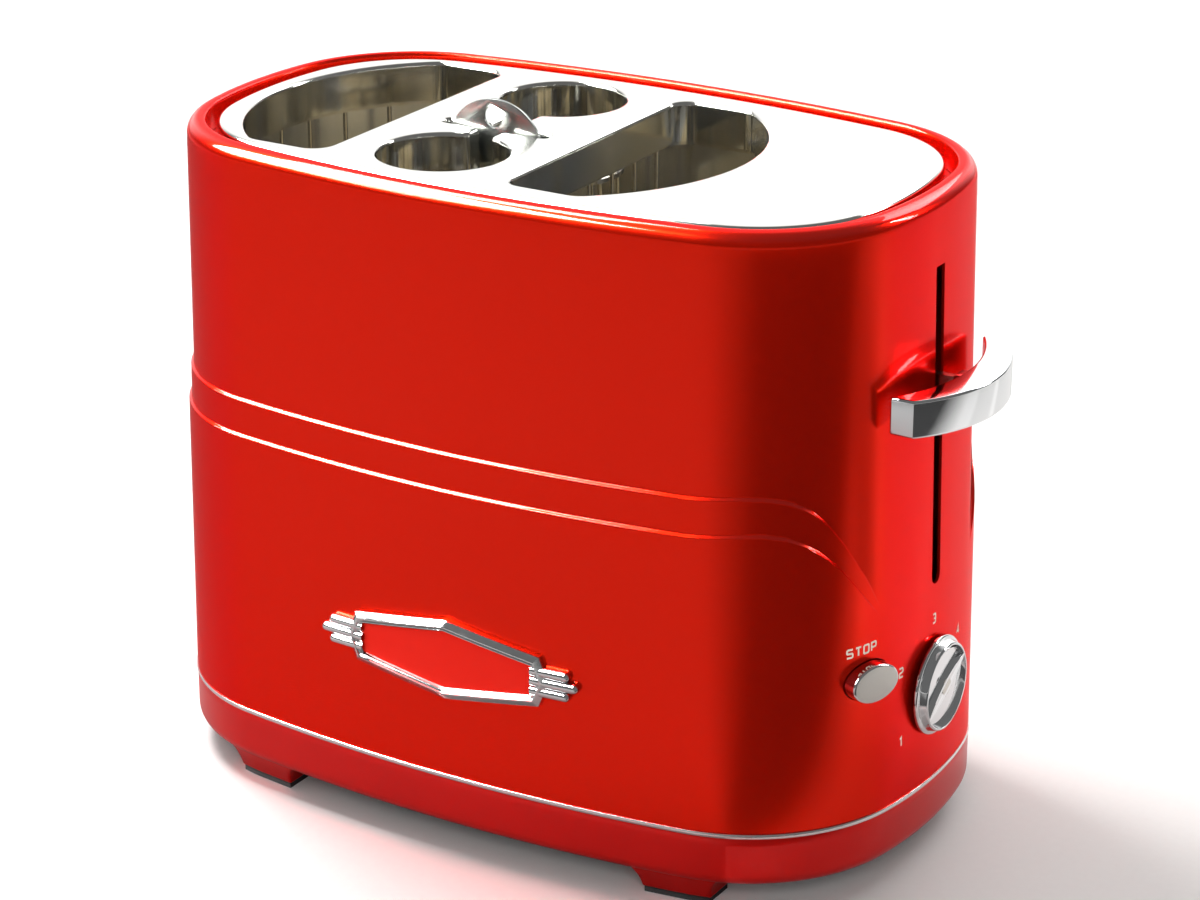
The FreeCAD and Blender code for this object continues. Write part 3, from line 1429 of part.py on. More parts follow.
doc.recompute()
failed = [item.Name for item in doc.Objects if {"Invalid", "Error"} & set(item.State)]
if failed:
    raise RuntimeError(f"failed objects: {failed}")
for item in subparts:
    shape = item.Shape
    if shape.isNull() or not shape.isValid() or not shape.Solids:
        raise RuntimeError(f"{item.Label} has no valid shape")
    item.Shape.exportStep(f"parts/{item.Label}.step")
    print(f"{item.Label:24s} {len(shape.Solids):3d} solids {shape.Volume:12.1f} mm3")
print(len(subparts), "nodes")
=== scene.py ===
import json
import math

import bmesh
import bpy
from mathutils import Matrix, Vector


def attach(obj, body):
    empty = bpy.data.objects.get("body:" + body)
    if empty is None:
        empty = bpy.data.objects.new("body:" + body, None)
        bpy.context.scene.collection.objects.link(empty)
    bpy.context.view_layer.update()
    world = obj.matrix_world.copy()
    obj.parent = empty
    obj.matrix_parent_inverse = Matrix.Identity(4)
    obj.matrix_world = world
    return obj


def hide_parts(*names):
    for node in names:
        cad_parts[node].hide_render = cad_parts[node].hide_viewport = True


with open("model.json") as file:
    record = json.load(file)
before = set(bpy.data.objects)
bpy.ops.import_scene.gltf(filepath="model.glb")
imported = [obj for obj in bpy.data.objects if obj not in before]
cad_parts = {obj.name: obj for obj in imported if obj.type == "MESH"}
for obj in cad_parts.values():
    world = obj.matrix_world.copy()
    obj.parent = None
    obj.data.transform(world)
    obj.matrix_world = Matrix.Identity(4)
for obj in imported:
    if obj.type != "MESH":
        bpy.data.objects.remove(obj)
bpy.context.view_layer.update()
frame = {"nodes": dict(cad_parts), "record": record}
mm = 0.001
print("frame loaded:", len(frame["nodes"]), "nodes")


# small tools
def linear(hexColour):
    parts = [int(hexColour[i:i + 2], 16) / 255 for i in (1, 3, 5)]
    return [c / 12.92 if c <= 0.04045 else ((c + 0.055) / 1.055) ** 2.4 for c in parts] + [1.0]


def addNode(tree, kind, settings=None, links=None):
    # a setting that starts with # is an sRGB colour
    node = tree.nodes.new(kind)
    for name, value in (settings or {}).items():
        value = linear(value) if str(value).startswith("#") else value
        if isinstance(name, str) and hasattr(node, name):
            setattr(node, name, value)
        else:
            node.inputs[name].default_value = value
    for name, source in (links or {}).items():
        tree.links.new(source, node.inputs[name])
    return node


def addObject(name, data):
    thing = bpy.data.objects.new(name, data)
    bpy.context.scene.collection.objects.link(thing)
    return thing


def spread(low, high, count):
    return [low + (high - low) * i / count for i in range(count + 1)]


def ellipse(radiusA, radiusB, sides, shift=0):
    turns = [2 * math.pi * (i + shift) / sides for i in range(sides)]
    return [(radiusA * math.cos(turn), radiusB * math.sin(turn)) for turn in turns]


def quarter(radius, steps):
    # a rounded edge from its side up to its top: how far inwards and how far up each point lies
    turns = spread(0, math.pi / 2, steps)
    return [(radius * (1 - math.cos(turn)), radius * math.sin(turn)) for turn in turns]


def rectangle(x0, x1, y0, y1):
    return [(x0, y0), (x1, y0), (x1, y1), (x0, y1)]


# camera
camera = {"azimuth": 31.1, "elevation": 21.36, "distance": 1171.2, "target": (10.06, 0, 118.82),
          "lens": 102.45, "sensor": 36, "near": 0.05, "far": 50}


def makeCamera():
    azimuth, elevation = math.radians(camera["azimuth"]), math.radians(camera["elevation"])
    away = Vector((math.sin(azimuth) * math.cos(elevation), -math.cos(azimuth) * math.cos(elevation),
                   math.sin(elevation)))
    data = bpy.data.cameras.new("camera")
    data.lens, data.sensor_width, data.sensor_fit = camera["lens"], camera["sensor"], "HORIZONTAL"
    data.clip_start, data.clip_end = camera["near"], camera["far"]
    view = addObject("camera", data)
    view.location = (Vector(camera["target"]) + away * camera["distance"]) * mm
    view.rotation_euler = away.to_track_quat("Z", "Y").to_euler()
    bpy.context.scene.camera = view


makeCamera()
print("camera placed")


# materials
nodeWords = {
    # word: kind of node, what it is always set to, the sockets for a recipe's values and for its sources, and
    # its outlet, which for a blend is the colour and for a place or direction the upward part
    "noise": ("ShaderNodeTexNoise", {}, ("Scale", "Detail"), ("Vector",), 0),
    "cells": ("ShaderNodeTexVoronoi", {}, ("Scale",), ("Vector",), 0),
    "stretch": ("ShaderNodeMapping", {}, ("Scale",), ("Vector",), 0),
    "upward": ("ShaderNodeSeparateXYZ", {}, (), ("Vector",), 2),
    "range": ("ShaderNodeMapRange", {}, ("To Min", "To Max", "From Min", "From Max"), ("Value",), 0),
    "blend": ("ShaderNodeMix", {"data_type": "RGBA"}, (6, 7), (0,), 2),
    "bump": ("ShaderNodeBump", {}, ("Distance", "Strength"), ("Height",), 0),
    "times": ("ShaderNodeMath", {"operation": "MULTIPLY"}, (), (0, 1), 0),
    "minus": ("ShaderNodeVectorMath", {"operation": "SUBTRACT"}, (1,), (0,), 0),
    "swing": ("ShaderNodeTexGradient", {"gradient_type": "RADIAL"}, (), ("Vector",), 0),
    "ramp": ("ShaderNodeValToRGB", {"label": "shades"}, (), ("Fac",), 0),
}
shaderSockets = {"tone": "Base Color", "gloss": "Roughness", "skin": "Normal", "coat": "Coat Weight",
                 "coatSkin": "Coat Normal"}


def makeMaterial(name, settings, recipe):
    # a recipe row is (label, word, values, sources), and the labels in shaderSockets feed the shader
    material = bpy.data.materials.new(name)
    material.use_nodes = True
    tree = material.node_tree
    tree.nodes.clear()
    given = addNode(tree, "ShaderNodeTexCoord").outputs
    outlets = {"place": given["Object"], "facing": given["Normal"]}
    for label, word, values, *sources in recipe:
        kind, always, sockets, feeds, outlet = nodeWords[word]
        links = {socket: outlets[source] for socket, source in zip(feeds, sources)}
        outlets[label] = addNode(tree, kind, {**always, **dict(zip(sockets, values))}, links).outputs[outlet]
    shader = addNode(tree, "ShaderNodeBsdfPrincipled", settings,
                     {socket: outlets[label] for label, socket in shaderSockets.items() if label in outlets})
    addNode(tree, "ShaderNodeOutputMaterial", {}, {"Surface": shader.outputs["BSDF"]})
    return material


def perMetre(grain):
    # pattern scale for a grain of so many millimetres
    return 1 / (grain * mm)


def patterned(label, grain, detail, tone, gloss=None, bump=None):
    # the usual recipe: one pattern of so many millimetres shades the tone, and the gloss or the skin with it
    rows = [(label, "noise", (perMetre(grain), detail), "place"), ("tone", "blend", tone, label)]
    rows += [("gloss", "range", gloss, label)] if gloss else []
    return rows + ([("skin", "bump", bump, label)] if bump else [])


finishes = {
    # stoved lacquer full of fine aluminium flake under a clear coat: deep candy red with soft broad sheen,
    # sharp small highlights, and the faintest orange peel; the clear coat is given far more weight on slopes
    # that face up, the rolled shoulder and the pressed lines, so that they shine whitest: a painted highlight
    # that follows which way the surface faces; the flake is drawn coarser than it is, to show
    "redEnamel": makeMaterial(
        "stovedFlakeEnamel",
        {"Metallic": 0.84, "Coat Roughness": 0.03, "Coat IOR": 1.5, "IOR": 1.5, "Specular IOR Level": 0.1,
         "Specular Tint": "#FF4030"},
        [("flake", "noise", (perMetre(0.35), 2), "place"), ("tone", "blend", ("#E61A06", "#F82608"), "flake"),
         ("cloud", "noise", (perMetre(60), 2), "place"), ("gloss", "range", (0.22, 0.265), "cloud"),
         # painted highlight: the coat weight, and with it the white shine, rises on slopes that face up
         ("height", "upward", (), "place"), ("slope", "upward", (), "facing"),
         ("below", "range", (0, 1, 0.36, 0.6), "slope"),
         ("above", "range", (0, 1, 229.9 * mm, 229.2 * mm), "height"),
         ("lap", "times", (), "below", "above"), ("coat", "range", (0.17, 0.85), "lap"),
         ("peel", "noise", (perMetre(3), 1), "place"), ("coatSkin", "bump", (0.02 * mm, 0.2), "peel")]),
    # injection moulded ABS sprayed to match the shell: the same red, a little flatter and cloudier
    "redPlastic": makeMaterial(
        "sprayedMouldedAbs",
        {"Metallic": 0.7, "Coat Weight": 0.36, "Coat Roughness": 0.05, "IOR": 1.53,
         "Specular IOR Level": 0.15},
        [("cloud", "noise", (perMetre(35), 2), "place"), ("tone", "blend", ("#CE0E09", "#DE130B"), "cloud"),
         ("gloss", "range", (0.29, 0.37), "cloud"),
         ("sink", "noise", (perMetre(9), 1), "place"), ("skin", "bump", (0.03 * mm, 0.25), "sink")]),
    # anodised aluminium strip: a pale satin line
    "trim": makeMaterial("anodisedAluminiumStrip", {"Metallic": 1.0},
                         patterned("grain", 2, 3, ("#EADFDF", "#F6F0EF"), gloss=(0.2, 0.26))),
    # pressed rubber: dull black with a fine pebbled skin
    "rubber": makeMaterial("pressedRubber", {"Roughness": 0.75, "IOR": 1.52},
                           patterned("pebble", 0.6, 3, ("#101011", "#1C1C1D"), bump=(0.08 * mm, 0.7))),
    # buffed stainless sheet: mirror bright, with the haze and fine straight lines that the wheel leaves
    "plate": makeMaterial("buffedStainlessSheet", {"Metallic": 1.0}, [
        ("haze", "noise", (perMetre(25), 3), "place"), ("gloss", "range", (0.09, 0.14, 0.3, 0.7), "haze"),
        ("tone", "blend", ("#D3D2CC", "#DCDBD6"), "haze"), ("drawn", "stretch", ((0.06, 1, 1),), "place"),
        ("line", "noise", (perMetre(0.9), 3), "drawn"), ("skin", "bump", (0.005 * mm, 0.25), "line")]),
    # chromium over a cast base: a clean mirror, softly wavy where the casting was polished by hand
    "chrome": makeMaterial("chromePlatedCasting", {"Metallic": 1.0, "Base Color": "#DFE0E1"}, [
        ("haze", "noise", (perMetre(6), 3), "place"), ("gloss", "range", (0.04, 0.11, 0.3, 0.7), "haze"),
        ("wave", "noise", (perMetre(7), 2), "place"), ("skin", "bump", (0.05 * mm, 0.5), "wave")]),
    # stainless sheet, stamped and tumbled: grey with a soft even shine
    "stamped": makeMaterial("tumbledStainlessStamping", {"Metallic": 1.0},
                            patterned("tumble", 2, 3, ("#858885", "#999C99"), gloss=(0.22, 0.265))),
    # satin chromium: bead blasted before plating, so it glows evenly
    "satin": makeMaterial("satinChromePlate", {"Metallic": 1.0, "Base Color": "#C6C2BC"}, [
        ("blast", "noise", (perMetre(0.5), 3), "place"), ("gloss", "range", (0.3, 0.45), "blast"),
        ("skin", "bump", (0.01 * mm, 0.4), "blast")]),
    # clear red enamel poured over bright metal: the metal shines through, brighter than the shell
    "inlay": makeMaterial(
        "pouredEnamelOverFoil",
        {"Metallic": 0.8, "Roughness": 0.42, "IOR": 1.5, "Coat Weight": 0.2, "Coat Roughness": 0.04,
         "Specular IOR Level": 0.1},
        patterned("pool", 14, 2, ("#FA2012", "#FF2A18"), bump=(0.015 * mm, 0.3))),
    # moulded phenolic: near black with a slight grain
    "black": makeMaterial("mouldedPhenolic", {"Roughness": 0.45, "IOR": 1.6},
                          patterned("grain", 0.8, 2, ("#131313", "#1F1F1F"), bump=(0.05 * mm, 0.5))),
    # hot dipped zinc: grey crystals a few millimetres across, each with its own shade and gloss
    "galvanised": makeMaterial("galvanisedSteelSheet", {"Metallic": 1.0}, [
        ("spangle", "cells", (perMetre(7),), "place"), ("shade", "range", (0, 1, 0, 0.8), "spangle"),
        ("tone", "blend", ("#8C8F91", "#ABADAF"), "shade"),
        ("gloss", "range", (0.28, 0.44, 0, 0.8), "spangle")]),
    # bright rolled aluminium: reflective, streaked along the rolling
    "bright": makeMaterial("brightRolledAluminium", {"Metallic": 1.0}, [
        ("drawn", "stretch", ((1, 1, 0.12),), "place"), ("streak", "noise", (perMetre(4), 3), "drawn"),
        ("tone", "blend", ("#B4B5B6", "#CFD0D1"), "streak"), ("gloss", "range", (0.18, 0.26), "streak")]),
    # nickel plated wire: warm bright lines
    "wire": makeMaterial("nickelPlatedWire", {"Metallic": 1.0},
                         patterned("wear", 5, 3, ("#BAB5AB", "#D2CEC6"), gloss=(0.16, 0.26))),
    # pressed mica: tan flakes with a pearly lie
    "mica": makeMaterial("pressedMicaSheet", {"Roughness": 0.48, "IOR": 1.58}, [
        ("flake", "cells", (perMetre(4),), "place"), ("tone", "blend", ("#A58F60", "#D2C39C"), "flake"),
        ("skin", "bump", (0.05 * mm, 0.5), "flake")]),
    # nichrome ribbon that has glowed: dull grey brown oxide
    "nichrome": makeMaterial("oxidisedNichromeRibbon", {"Metallic": 1.0},
                             patterned("scale", 5, 3, ("#5A534B", "#7D766C"), gloss=(0.35, 0.5))),
    # machined soft iron under oil: dark grey
    "iron": makeMaterial("machinedSoftIron", {"Metallic": 1.0, "Roughness": 0.38},
                         patterned("turned", 1.5, 4, ("#48494B", "#68696B"), bump=(0.03 * mm, 0.5))),
    # spring brass: yellow, with its gloss in uneven patches
    "brass": makeMaterial("rolledSpringBrass", {"Metallic": 1.0},
                          patterned("patch", 4, 3, ("#B58E3C", "#D2AF60"), gloss=(0.24, 0.38))),
    # green solder mask over copper tracks: glossy, with paler cells
    "board": makeMaterial("lacqueredCircuitBoard", {"Roughness": 0.35, "IOR": 1.5}, [
        ("track", "cells", (perMetre(6),), "place"), ("tone", "blend", ("#0E4720", "#1A6833"), "track"),
        ("skin", "bump", (0.04 * mm, 0.4), "track")]),
    # zinc plated screws, barrel finished: pale grey and slightly dull
    "zinc": makeMaterial("zincPlatedScrew", {"Metallic": 1.0},
                         patterned("barrel", 1, 3, ("#B6B9BC", "#CACCCE"), gloss=(0.29, 0.38))),
    # screen printed ink: flat cream, faintly grainy
    "ink": makeMaterial("creamScreenInk", {"Roughness": 0.5, "IOR": 1.5},
                        patterned("grain", 0.5, 2, ("#F0DFCB", "#FBF2E4"))),
}

slotFinish = {
    "red_enamel": "redEnamel", "red_plastic": "redPlastic", "bright_trim": "trim", "foot_rubber": "rubber",
    "polished_steel": "plate", "chrome": "chrome", "red_inlay": "inlay", "black_plastic": "black",
    "galvanised_sheet": "galvanised", "bright_sheet": "bright", "steel_wire": "wire", "mica": "mica",
    "nichrome": "nichrome", "soft_iron": "iron", "brass": "brass", "circuit_board": "board",
    "zinc_screw": "zinc",
}
for part in frame["record"]["subparts"]:
    slots = frame["nodes"][part["node"]].data.materials
    slots.clear()
    slots.append(finishes[slotFinish[part["material_slot"]]])
print("materials made:", len(finishes))


# the oval that the body follows
oval = {"halfLength": 140, "halfWidth": 83.7, "sideRadius": 582, "endRadius": 158, "cornerRadius": 60.5}
bandStep = 3
endX = oval["halfLength"] - oval["endRadius"]
sideY = oval["halfWidth"] - oval["sideRadius"]


def cornerCentre():
    # the middle of the arc that touches both the end's and the side's
    a, b = oval["endRadius"] - oval["cornerRadius"], oval["sideRadius"] - oval["cornerRadius"]
    apart = math.hypot(endX, sideY)
    along = (a * a - b * b + apart * apart) / (2 * apart)
    off = math.sqrt(a * a - along * along)
    ux, uy = -endX / apart, sideY / apart
    return endX + ux * along - uy * off, uy * along + ux * off


cornerX, cornerY = cornerCentre()
endAngle = math.atan2(cornerY, cornerX - endX)
sideAngle = math.atan2(cornerY - sideY, cornerX)


def ovalPoint(angle, inset):
    # the point of the oval whose outward direction has this angle
    c, s = math.cos(angle), math.sin(angle)
    folded = math.atan2(abs(s), abs(c))
    if folded < endAngle:
        x, y, radius = endX, 0, oval["endRadius"]
    elif folded < sideAngle:
        x, y, radius = cornerX, cornerY, oval["cornerRadius"]
    else:
        x, y, radius = 0, sideY, oval["sideRadius"]
    x += (radius - inset) * abs(c)
    y += (radius - inset) * abs(s)
    return math.copysign(x, c), math.copysign(y, s)


def ovalAngles(step):
    # the angles of points about one step apart all round
    turns = []
    spans = ((0, endAngle, oval["endRadius"]), (endAngle, sideAngle, oval["cornerRadius"]),
             (sideAngle, math.pi / 2, oval["sideRadius"]))
    for low, high, radius in spans:
        count = max(2, math.ceil((high - low) * radius / step))
        turns += spread(low, high, count)[:-1]
    angles = turns + [math.pi / 2] + [math.pi - a for a in reversed(turns[1:])]
    return angles + [a + math.pi for a in angles]


def ovalLoop(angles, inset, z):
    return [(*ovalPoint(a, inset), z) for a in angles]


def smooth(t):
    t = min(1, max(0, t))
    return t * t * t * (t * (6 * t - 15) + 10)


def between(table, x):
    # straight lines between the table's points
    if x <= table[0][0]:
        return table[0][1]
    for (x0, y0), (x1, y1) in zip(table, table[1:]):
        if x <= x1:
            return y0 + (y1 - y0) * (x - x0) / (x1 - x0)
    return table[-1][1]


# making pieces
def shade(mesh, sharp):
    mesh.shade_smooth()
    mesh.set_sharp_from_angle(angle=math.radians(sharp))


weld = 0.005 * mm
fineWeld = 0.001 * mm


def tidyMesh(mesh, sharp):
    work = bmesh.new()
    work.from_mesh(mesh)
    bmesh.ops.remove_doubles(work, verts=work.verts, dist=weld)
    bmesh.ops.recalc_face_normals(work, faces=work.faces)
    work.to_mesh(mesh)
    work.free()
    shade(mesh, sharp)


def makePiece(name, form, finish, sharp=35, tidy=True):
    # a form is its vertices and its faces
    mesh = bpy.data.meshes.new(name)
    mesh.from_pydata([Vector(v) * mm for v in form[0]], [], form[1])
    mesh.materials.append(finishes[finish])
    if tidy:
        tidyMesh(mesh, sharp)
    return addObject(name, mesh)


def applied(piece, sharp=None):
    # turns the modified object into a plain mesh
    graph = bpy.context.evaluated_depsgraph_get()
    mesh, old = bpy.data.meshes.new_from_object(piece.evaluated_get(graph)), piece.data
    piece.modifiers.clear()
    piece.data = mesh
    bpy.data.meshes.remove(old)
    if sharp:
        shade(mesh, sharp)
    return piece


def cutFrom(piece, tools, sharp=35):
    for tool in tools:
        modifier = piece.modifiers.new("cut", "BOOLEAN")
        modifier.operation = "DIFFERENCE"
        modifier.solver = "EXACT"
        modifier.object = tool
    bpy.context.view_layer.update()
    piece = applied(piece, sharp)
    for tool in tools:
        bpy.data.objects.remove(tool)
    return piece


def bevelled(piece, width, segments=3, angle=50, sharp=35):
    modifier = piece.modifiers.new("edges", "BEVEL")
    modifier.width = width * mm
    modifier.segments = segments
    modifier.limit_method = "ANGLE"
    modifier.angle_limit = math.radians(angle)
    return applied(piece, sharp)


def stacked(loops, closeEnds=True):
    # a skin over loops with the same number of points
    count, last = len(loops[0]), len(loops) - 1
    faces = [(row + i, row + (i + 1) % count, row + count + (i + 1) % count, row + count + i)
             for row in range(0, last * count, count) for i in range(count)]
    if closeEnds:
        faces += [tuple(range(count))[::-1], tuple(range(last * count, (last + 1) * count))]
    return [point for loop in loops for point in loop], faces


def prism(loop, low, high):
    # a straight prism over a loop of (x, y)
    return stacked([[(x, y, z) for x, y in loop] for z in (low, high)])


def gridFaces(rows, columns):
    wide = columns + 1
    return [(i * wide + j, (i + 1) * wide + j, (i + 1) * wide + j + 1, i * wide + j + 1)
            for i in range(rows) for j in range(columns)]


def merged(forms):
    vertices, faces = [], []
    for points, polygons in forms:
        start = len(vertices)
        vertices += points
        faces += [tuple(start + i for i in polygon) for polygon in polygons]
    return vertices, faces


def give(piece, body, slot, *replaced):
    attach(piece, body)
    if replaced:
        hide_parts(*replaced)
    return piece


# Geometry Nodes: a profile swept along loops, and a rod set on points
def newTree(name, **sockets):
    tree = bpy.data.node_groups.new(name, "GeometryNodeTree")
    for label, kind in (("Geometry", "Geometry"), *sockets.items(), ("Finish", "Material")):
        tree.interface.new_socket(label, in_out="INPUT", socket_type="NodeSocket" + kind)
    tree.interface.new_socket("Geometry", in_out="OUTPUT", socket_type="NodeSocketGeometry")
    return tree, addNode(tree, "NodeGroupInput").outputs


def endTree(tree, source, given):
    real = addNode(tree, "GeometryNodeRealizeInstances", {}, {"Geometry": source})
    painted = addNode(tree, "GeometryNodeSetMaterial", {},
                      {"Geometry": real.outputs["Geometry"], "Material": given["Finish"]})
    addNode(tree, "NodeGroupOutput", {}, {"Geometry": painted.outputs["Geometry"]})
    return tree


def makeSweepTree():
    tree, given = newTree("sweepAlongLoops", Profile="Object")
    path = addNode(tree, "GeometryNodeMeshToCurve", {}, {"Mesh": given["Geometry"]})
    upright = addNode(tree, "GeometryNodeSetCurveNormal", {"mode": "Z_UP"}, {"Curve": path.outputs["Curve"]})
    profile = addNode(tree, "GeometryNodeObjectInfo", {}, {"Object": given["Profile"]})
    outline = addNode(tree, "GeometryNodeMeshToCurve", {}, {"Mesh": profile.outputs["Geometry"]})
    swept = addNode(tree, "GeometryNodeCurveToMesh", {},
                    {"Curve": upright.outputs["Curve"], "Profile Curve": outline.outputs["Curve"]})
    return endTree(tree, swept.outputs["Mesh"], given)


def makeRodTree():
    tree, given = newTree("rodsOnPoints", Radius="Float", Length="Float", Sides="Int")
    rod = addNode(tree, "GeometryNodeMeshCylinder", {},
                  {"Vertices": given["Sides"], "Radius": given["Radius"], "Depth": given["Length"]})
    soft = addNode(tree, "GeometryNodeSetShadeSmooth", {},
                   {"Geometry": rod.outputs["Mesh"], "Shade Smooth": rod.outputs["Side"]})
    placed = addNode(tree, "GeometryNodeInstanceOnPoints", {},
                     {"Points": given["Geometry"], "Instance": soft.outputs["Geometry"]})
    return endTree(tree, placed.outputs["Instances"], given)


sweepTree = makeSweepTree()
rodTree = makeRodTree()


def grown(piece, tree, inputs, sharp=None):
    # the piece as the node tree makes it from its mesh
    modifier = piece.modifiers.new("made", "NODES")
    modifier.node_group = tree
    for item in tree.interface.items_tree:
        if item.item_type == "SOCKET" and item.in_out == "INPUT" and item.name in inputs:
            modifier[item.identifier] = inputs[item.name]
    bpy.context.view_layer.update()
    return applied(piece, sharp)


def loopsObject(name, loops, closed=True):
    vertices, edges = [], []
    for loop in loops:
        start = len(vertices)
        vertices += [Vector(p) * mm for p in loop]
        edges += [(start + i, start + i + 1) for i in range(len(loop) - 1)]
        if closed:
            edges.append((start + len(loop) - 1, start))
    mesh = bpy.data.meshes.new(name)
    mesh.from_pydata(vertices, edges, [])
    return addObject(name, mesh)


def sweep(name, loops, profile, finish, sharp, closed=True):
    # profile points are (outward, up) for a loop that runs anticlockwise
    path = loopsObject(name, loops, closed)
    shape = loopsObject(name + "Profile", [[(u, -v, 0) for u, v in profile]])
    piece = grown(path, sweepTree, {"Profile": shape, "Finish": finishes[finish]})
    bpy.data.objects.remove(shape)
    tidyMesh(piece.data, sharp)
    return piece


def rods(name, places, radius, low, high, finish, sides=12):
    points = loopsObject(name, [[(x, y, (low + high) / 2)] for x, y in places], False)
    return grown(points, rodTree, {"Radius": radius * mm, "Length": (high - low) * mm, "Sides": sides,
                                   "Finish": finishes[finish]}, 35)


def joined(name, *pieces):
    work = bmesh.new()
    for piece in pieces:
        work.from_mesh(piece.data)
    mesh = bpy.data.meshes.new(name)
    work.to_mesh(mesh)
    work.free()
    mesh.materials.append(pieces[0].data.materials[0])
    for piece in pieces:
        bpy.data.objects.remove(piece)
    return addObject(name, mesh)


# shell
shell = {
    "bottom": 28.6, "top": 230, "draft": 2.7, "step": 1.0, "shoulder": 5, "rimInset": 11.3, "rimRoll": 1.2,
    "rimDepth": 9, "wall": 1, "lipInset": 0.4, "lipHeight": 0.4, "columnStep": 2.4,
    # heights of the two pressed lines against the outward direction, in degrees from the lever end
    "upperLine": ((10, 95), (14, 98.5), (16.8, 103), (21.1, 111.5), (26.5, 120), (31.2, 127), (37.2, 134.5),
                  (42.3, 138.8), (49, 142), (56, 143.4), (64, 143.6), (90, 142)),
    "lowerLine": ((10, 93.5), (14, 96.5), (18.4, 101), (23.6, 107.5), (28, 113), (32.3, 118.3), (38.5, 124),
                  (43.4, 127.4), (50, 130.3), (57, 131.6), (64, 131.4), (90, 129.5)),
    "fadeFrom": 28, "fadeTo": 14,
    "beadRows": (-1.6, -0.7, -0.35, -0.1, 0.15, 0.4, 0.7, 1.0, 1.3, 1.7, 2.4),
    "beadRise": 1.1, "closeUp": 0.12, "closeBelow": 5,
    "slotHalf": 3.0, "slotLow": 98, "slotHigh": 207, "slotReach": (100, 170),
}


def lineAngle(angle):
    c, s = math.cos(angle), abs(math.sin(angle))
    return math.degrees(math.atan2(s, c)) if c > 0 else 90


def lineFade(degrees):
    return smooth((degrees - shell["fadeTo"]) / (shell["fadeFrom"] - shell["fadeTo"]))


def shellInset(angle, z):
    degrees = lineAngle(angle)
    fade = lineFade(degrees)
    rise = (z - shell["bottom"]) / (shell["top"] - shell["bottom"])
    steps = 0
    for line in ("upperLine", "lowerLine"):
        steps += smooth((z - between(shell[line], degrees)) / shell["beadRise"])
    plain = (shell["draft"] + 2 * shell["step"]) * rise
    return fade * (shell["draft"] * rise + shell["step"] * steps) + (1 - fade) * plain


def shellRows(degrees):
    lower, upper = between(shell["lowerLine"], degrees), between(shell["upperLine"], degrees)
    offsets = shell["beadRows"]
    # where the two lines run together, their rows close up
    gap = max(shell["closeUp"], min(1, (upper - lower) / shell["closeBelow"]))
    lowBead = [lower + d * gap for d in offsets]
    highBead = [upper + d * (1 if d > 0 else gap) for d in offsets]
    start, top = shell["bottom"] + shell["lipHeight"], shell["top"] - shell["shoulder"]
    rows = spread(start, lowBead[0], 26)[:-1] + lowBead + spread(lowBead[-1], highBead[0], 5)[1:-1]
    return rows + highBead + spread(highBead[-1], top, 22)[1:-1]


def makeShell():
    angles = ovalAngles(shell["columnStep"])
    wall, top, shoulder, rim = shell["wall"], shell["top"], shell["shoulder"], shell["rimInset"]
    rowsAt = [shellRows(lineAngle(a)) for a in angles]
    count = len(rowsAt[0])

    def beaded(row, deep):
        # each row has its own height at each angle, as it follows the pressed lines
        spots = [(a, rows[row]) for a, rows in zip(angles, rowsAt)]
        return [(*ovalPoint(a, shellInset(a, z) + deep), z) for a, z in spots]

    edge, low, roll = shell["draft"] + 2 * shell["step"], top - shell["rimDepth"], shell["rimRoll"]
    rows = [(edge + inwards, top - shoulder + up) for inwards, up in quarter(shoulder, 10)]
    rows += [(rim - inwards, top - roll + up) for inwards, up in reversed(quarter(roll, 6))]
    rows += [(rim, low), (rim - wall, low), (rim - wall, top - wall), (edge + shoulder, top - wall)]
    inner = quarter(shoulder - wall, 3)[2:0:-1]
    rows += [(edge + wall + inwards, top - shoulder + up) for inwards, up in inner]
    loops = [ovalLoop(angles, shell["lipInset"], shell["bottom"])] + [beaded(row, 0) for row in range(count)]
    loops += [ovalLoop(angles, *row) for row in rows]
    loops += [beaded(row, wall) for row in reversed(range(0, count, 3))]
    loops.append(ovalLoop(angles, wall, shell["bottom"]))
    return makePiece("shell", stacked(loops + loops[:1], False), "redEnamel", sharp=40)


def endSlotTool():
    half, low = shell["slotHalf"], shell["slotLow"] + shell["slotHalf"]
    loop = [(half, shell["slotHigh"]), (-half, shell["slotHigh"])]
    for turn in spread(math.pi, 2 * math.pi, 16):
        loop.append((half * math.cos(turn), low + half * math.sin(turn)))
    form = stacked([[(x, y, z) for y, z in loop] for x in shell["slotReach"]])
    return makePiece("slotTool", form, "redEnamel")


def ovalStack(centre, along, rows, sides):
    # loops round a level direction, one for each row's two radii and distance
    across = Vector((-along.y, along.x, 0))
    loops = []
    for wide, tall, out in rows:
        middle = centre + along * out
        loops.append([middle + across * a + Vector((0, 0, b)) for a, b in ellipse(wide, tall, sides)])
    return stacked(loops)


def roundTool(name, centre, direction, wide, tall, reach, sides=64):
    rows = [(wide, tall, -reach), (wide, tall, reach)]
    return makePiece(name, ovalStack(Vector(centre), Vector(direction), rows, sides), "redEnamel")


button = {"height": 77.6, "angle": -20.9, "halfLength": 9.6, "halfHeight": 6.5, "reach": 4.6, "gap": 0.35,
          "edge": 0.8, "root": -3.4, "crown": ((1.5, 0.08), (3.2, 0.14), (4.6, 0.17)), "toolReach": 6,
          "crownFacing": 0.97}
dial = {"height": 62, "back": 139.7, "rest": 60, "shaftHole": 5, "toolReach": 12}


def shellSpot(degrees, z):
    # a point on the shell's face and its outward direction
    angle = math.radians(degrees)
    return Vector((*ovalPoint(angle, shellInset(angle, z)), z)), Vector((math.cos(angle), math.sin(angle), 0))


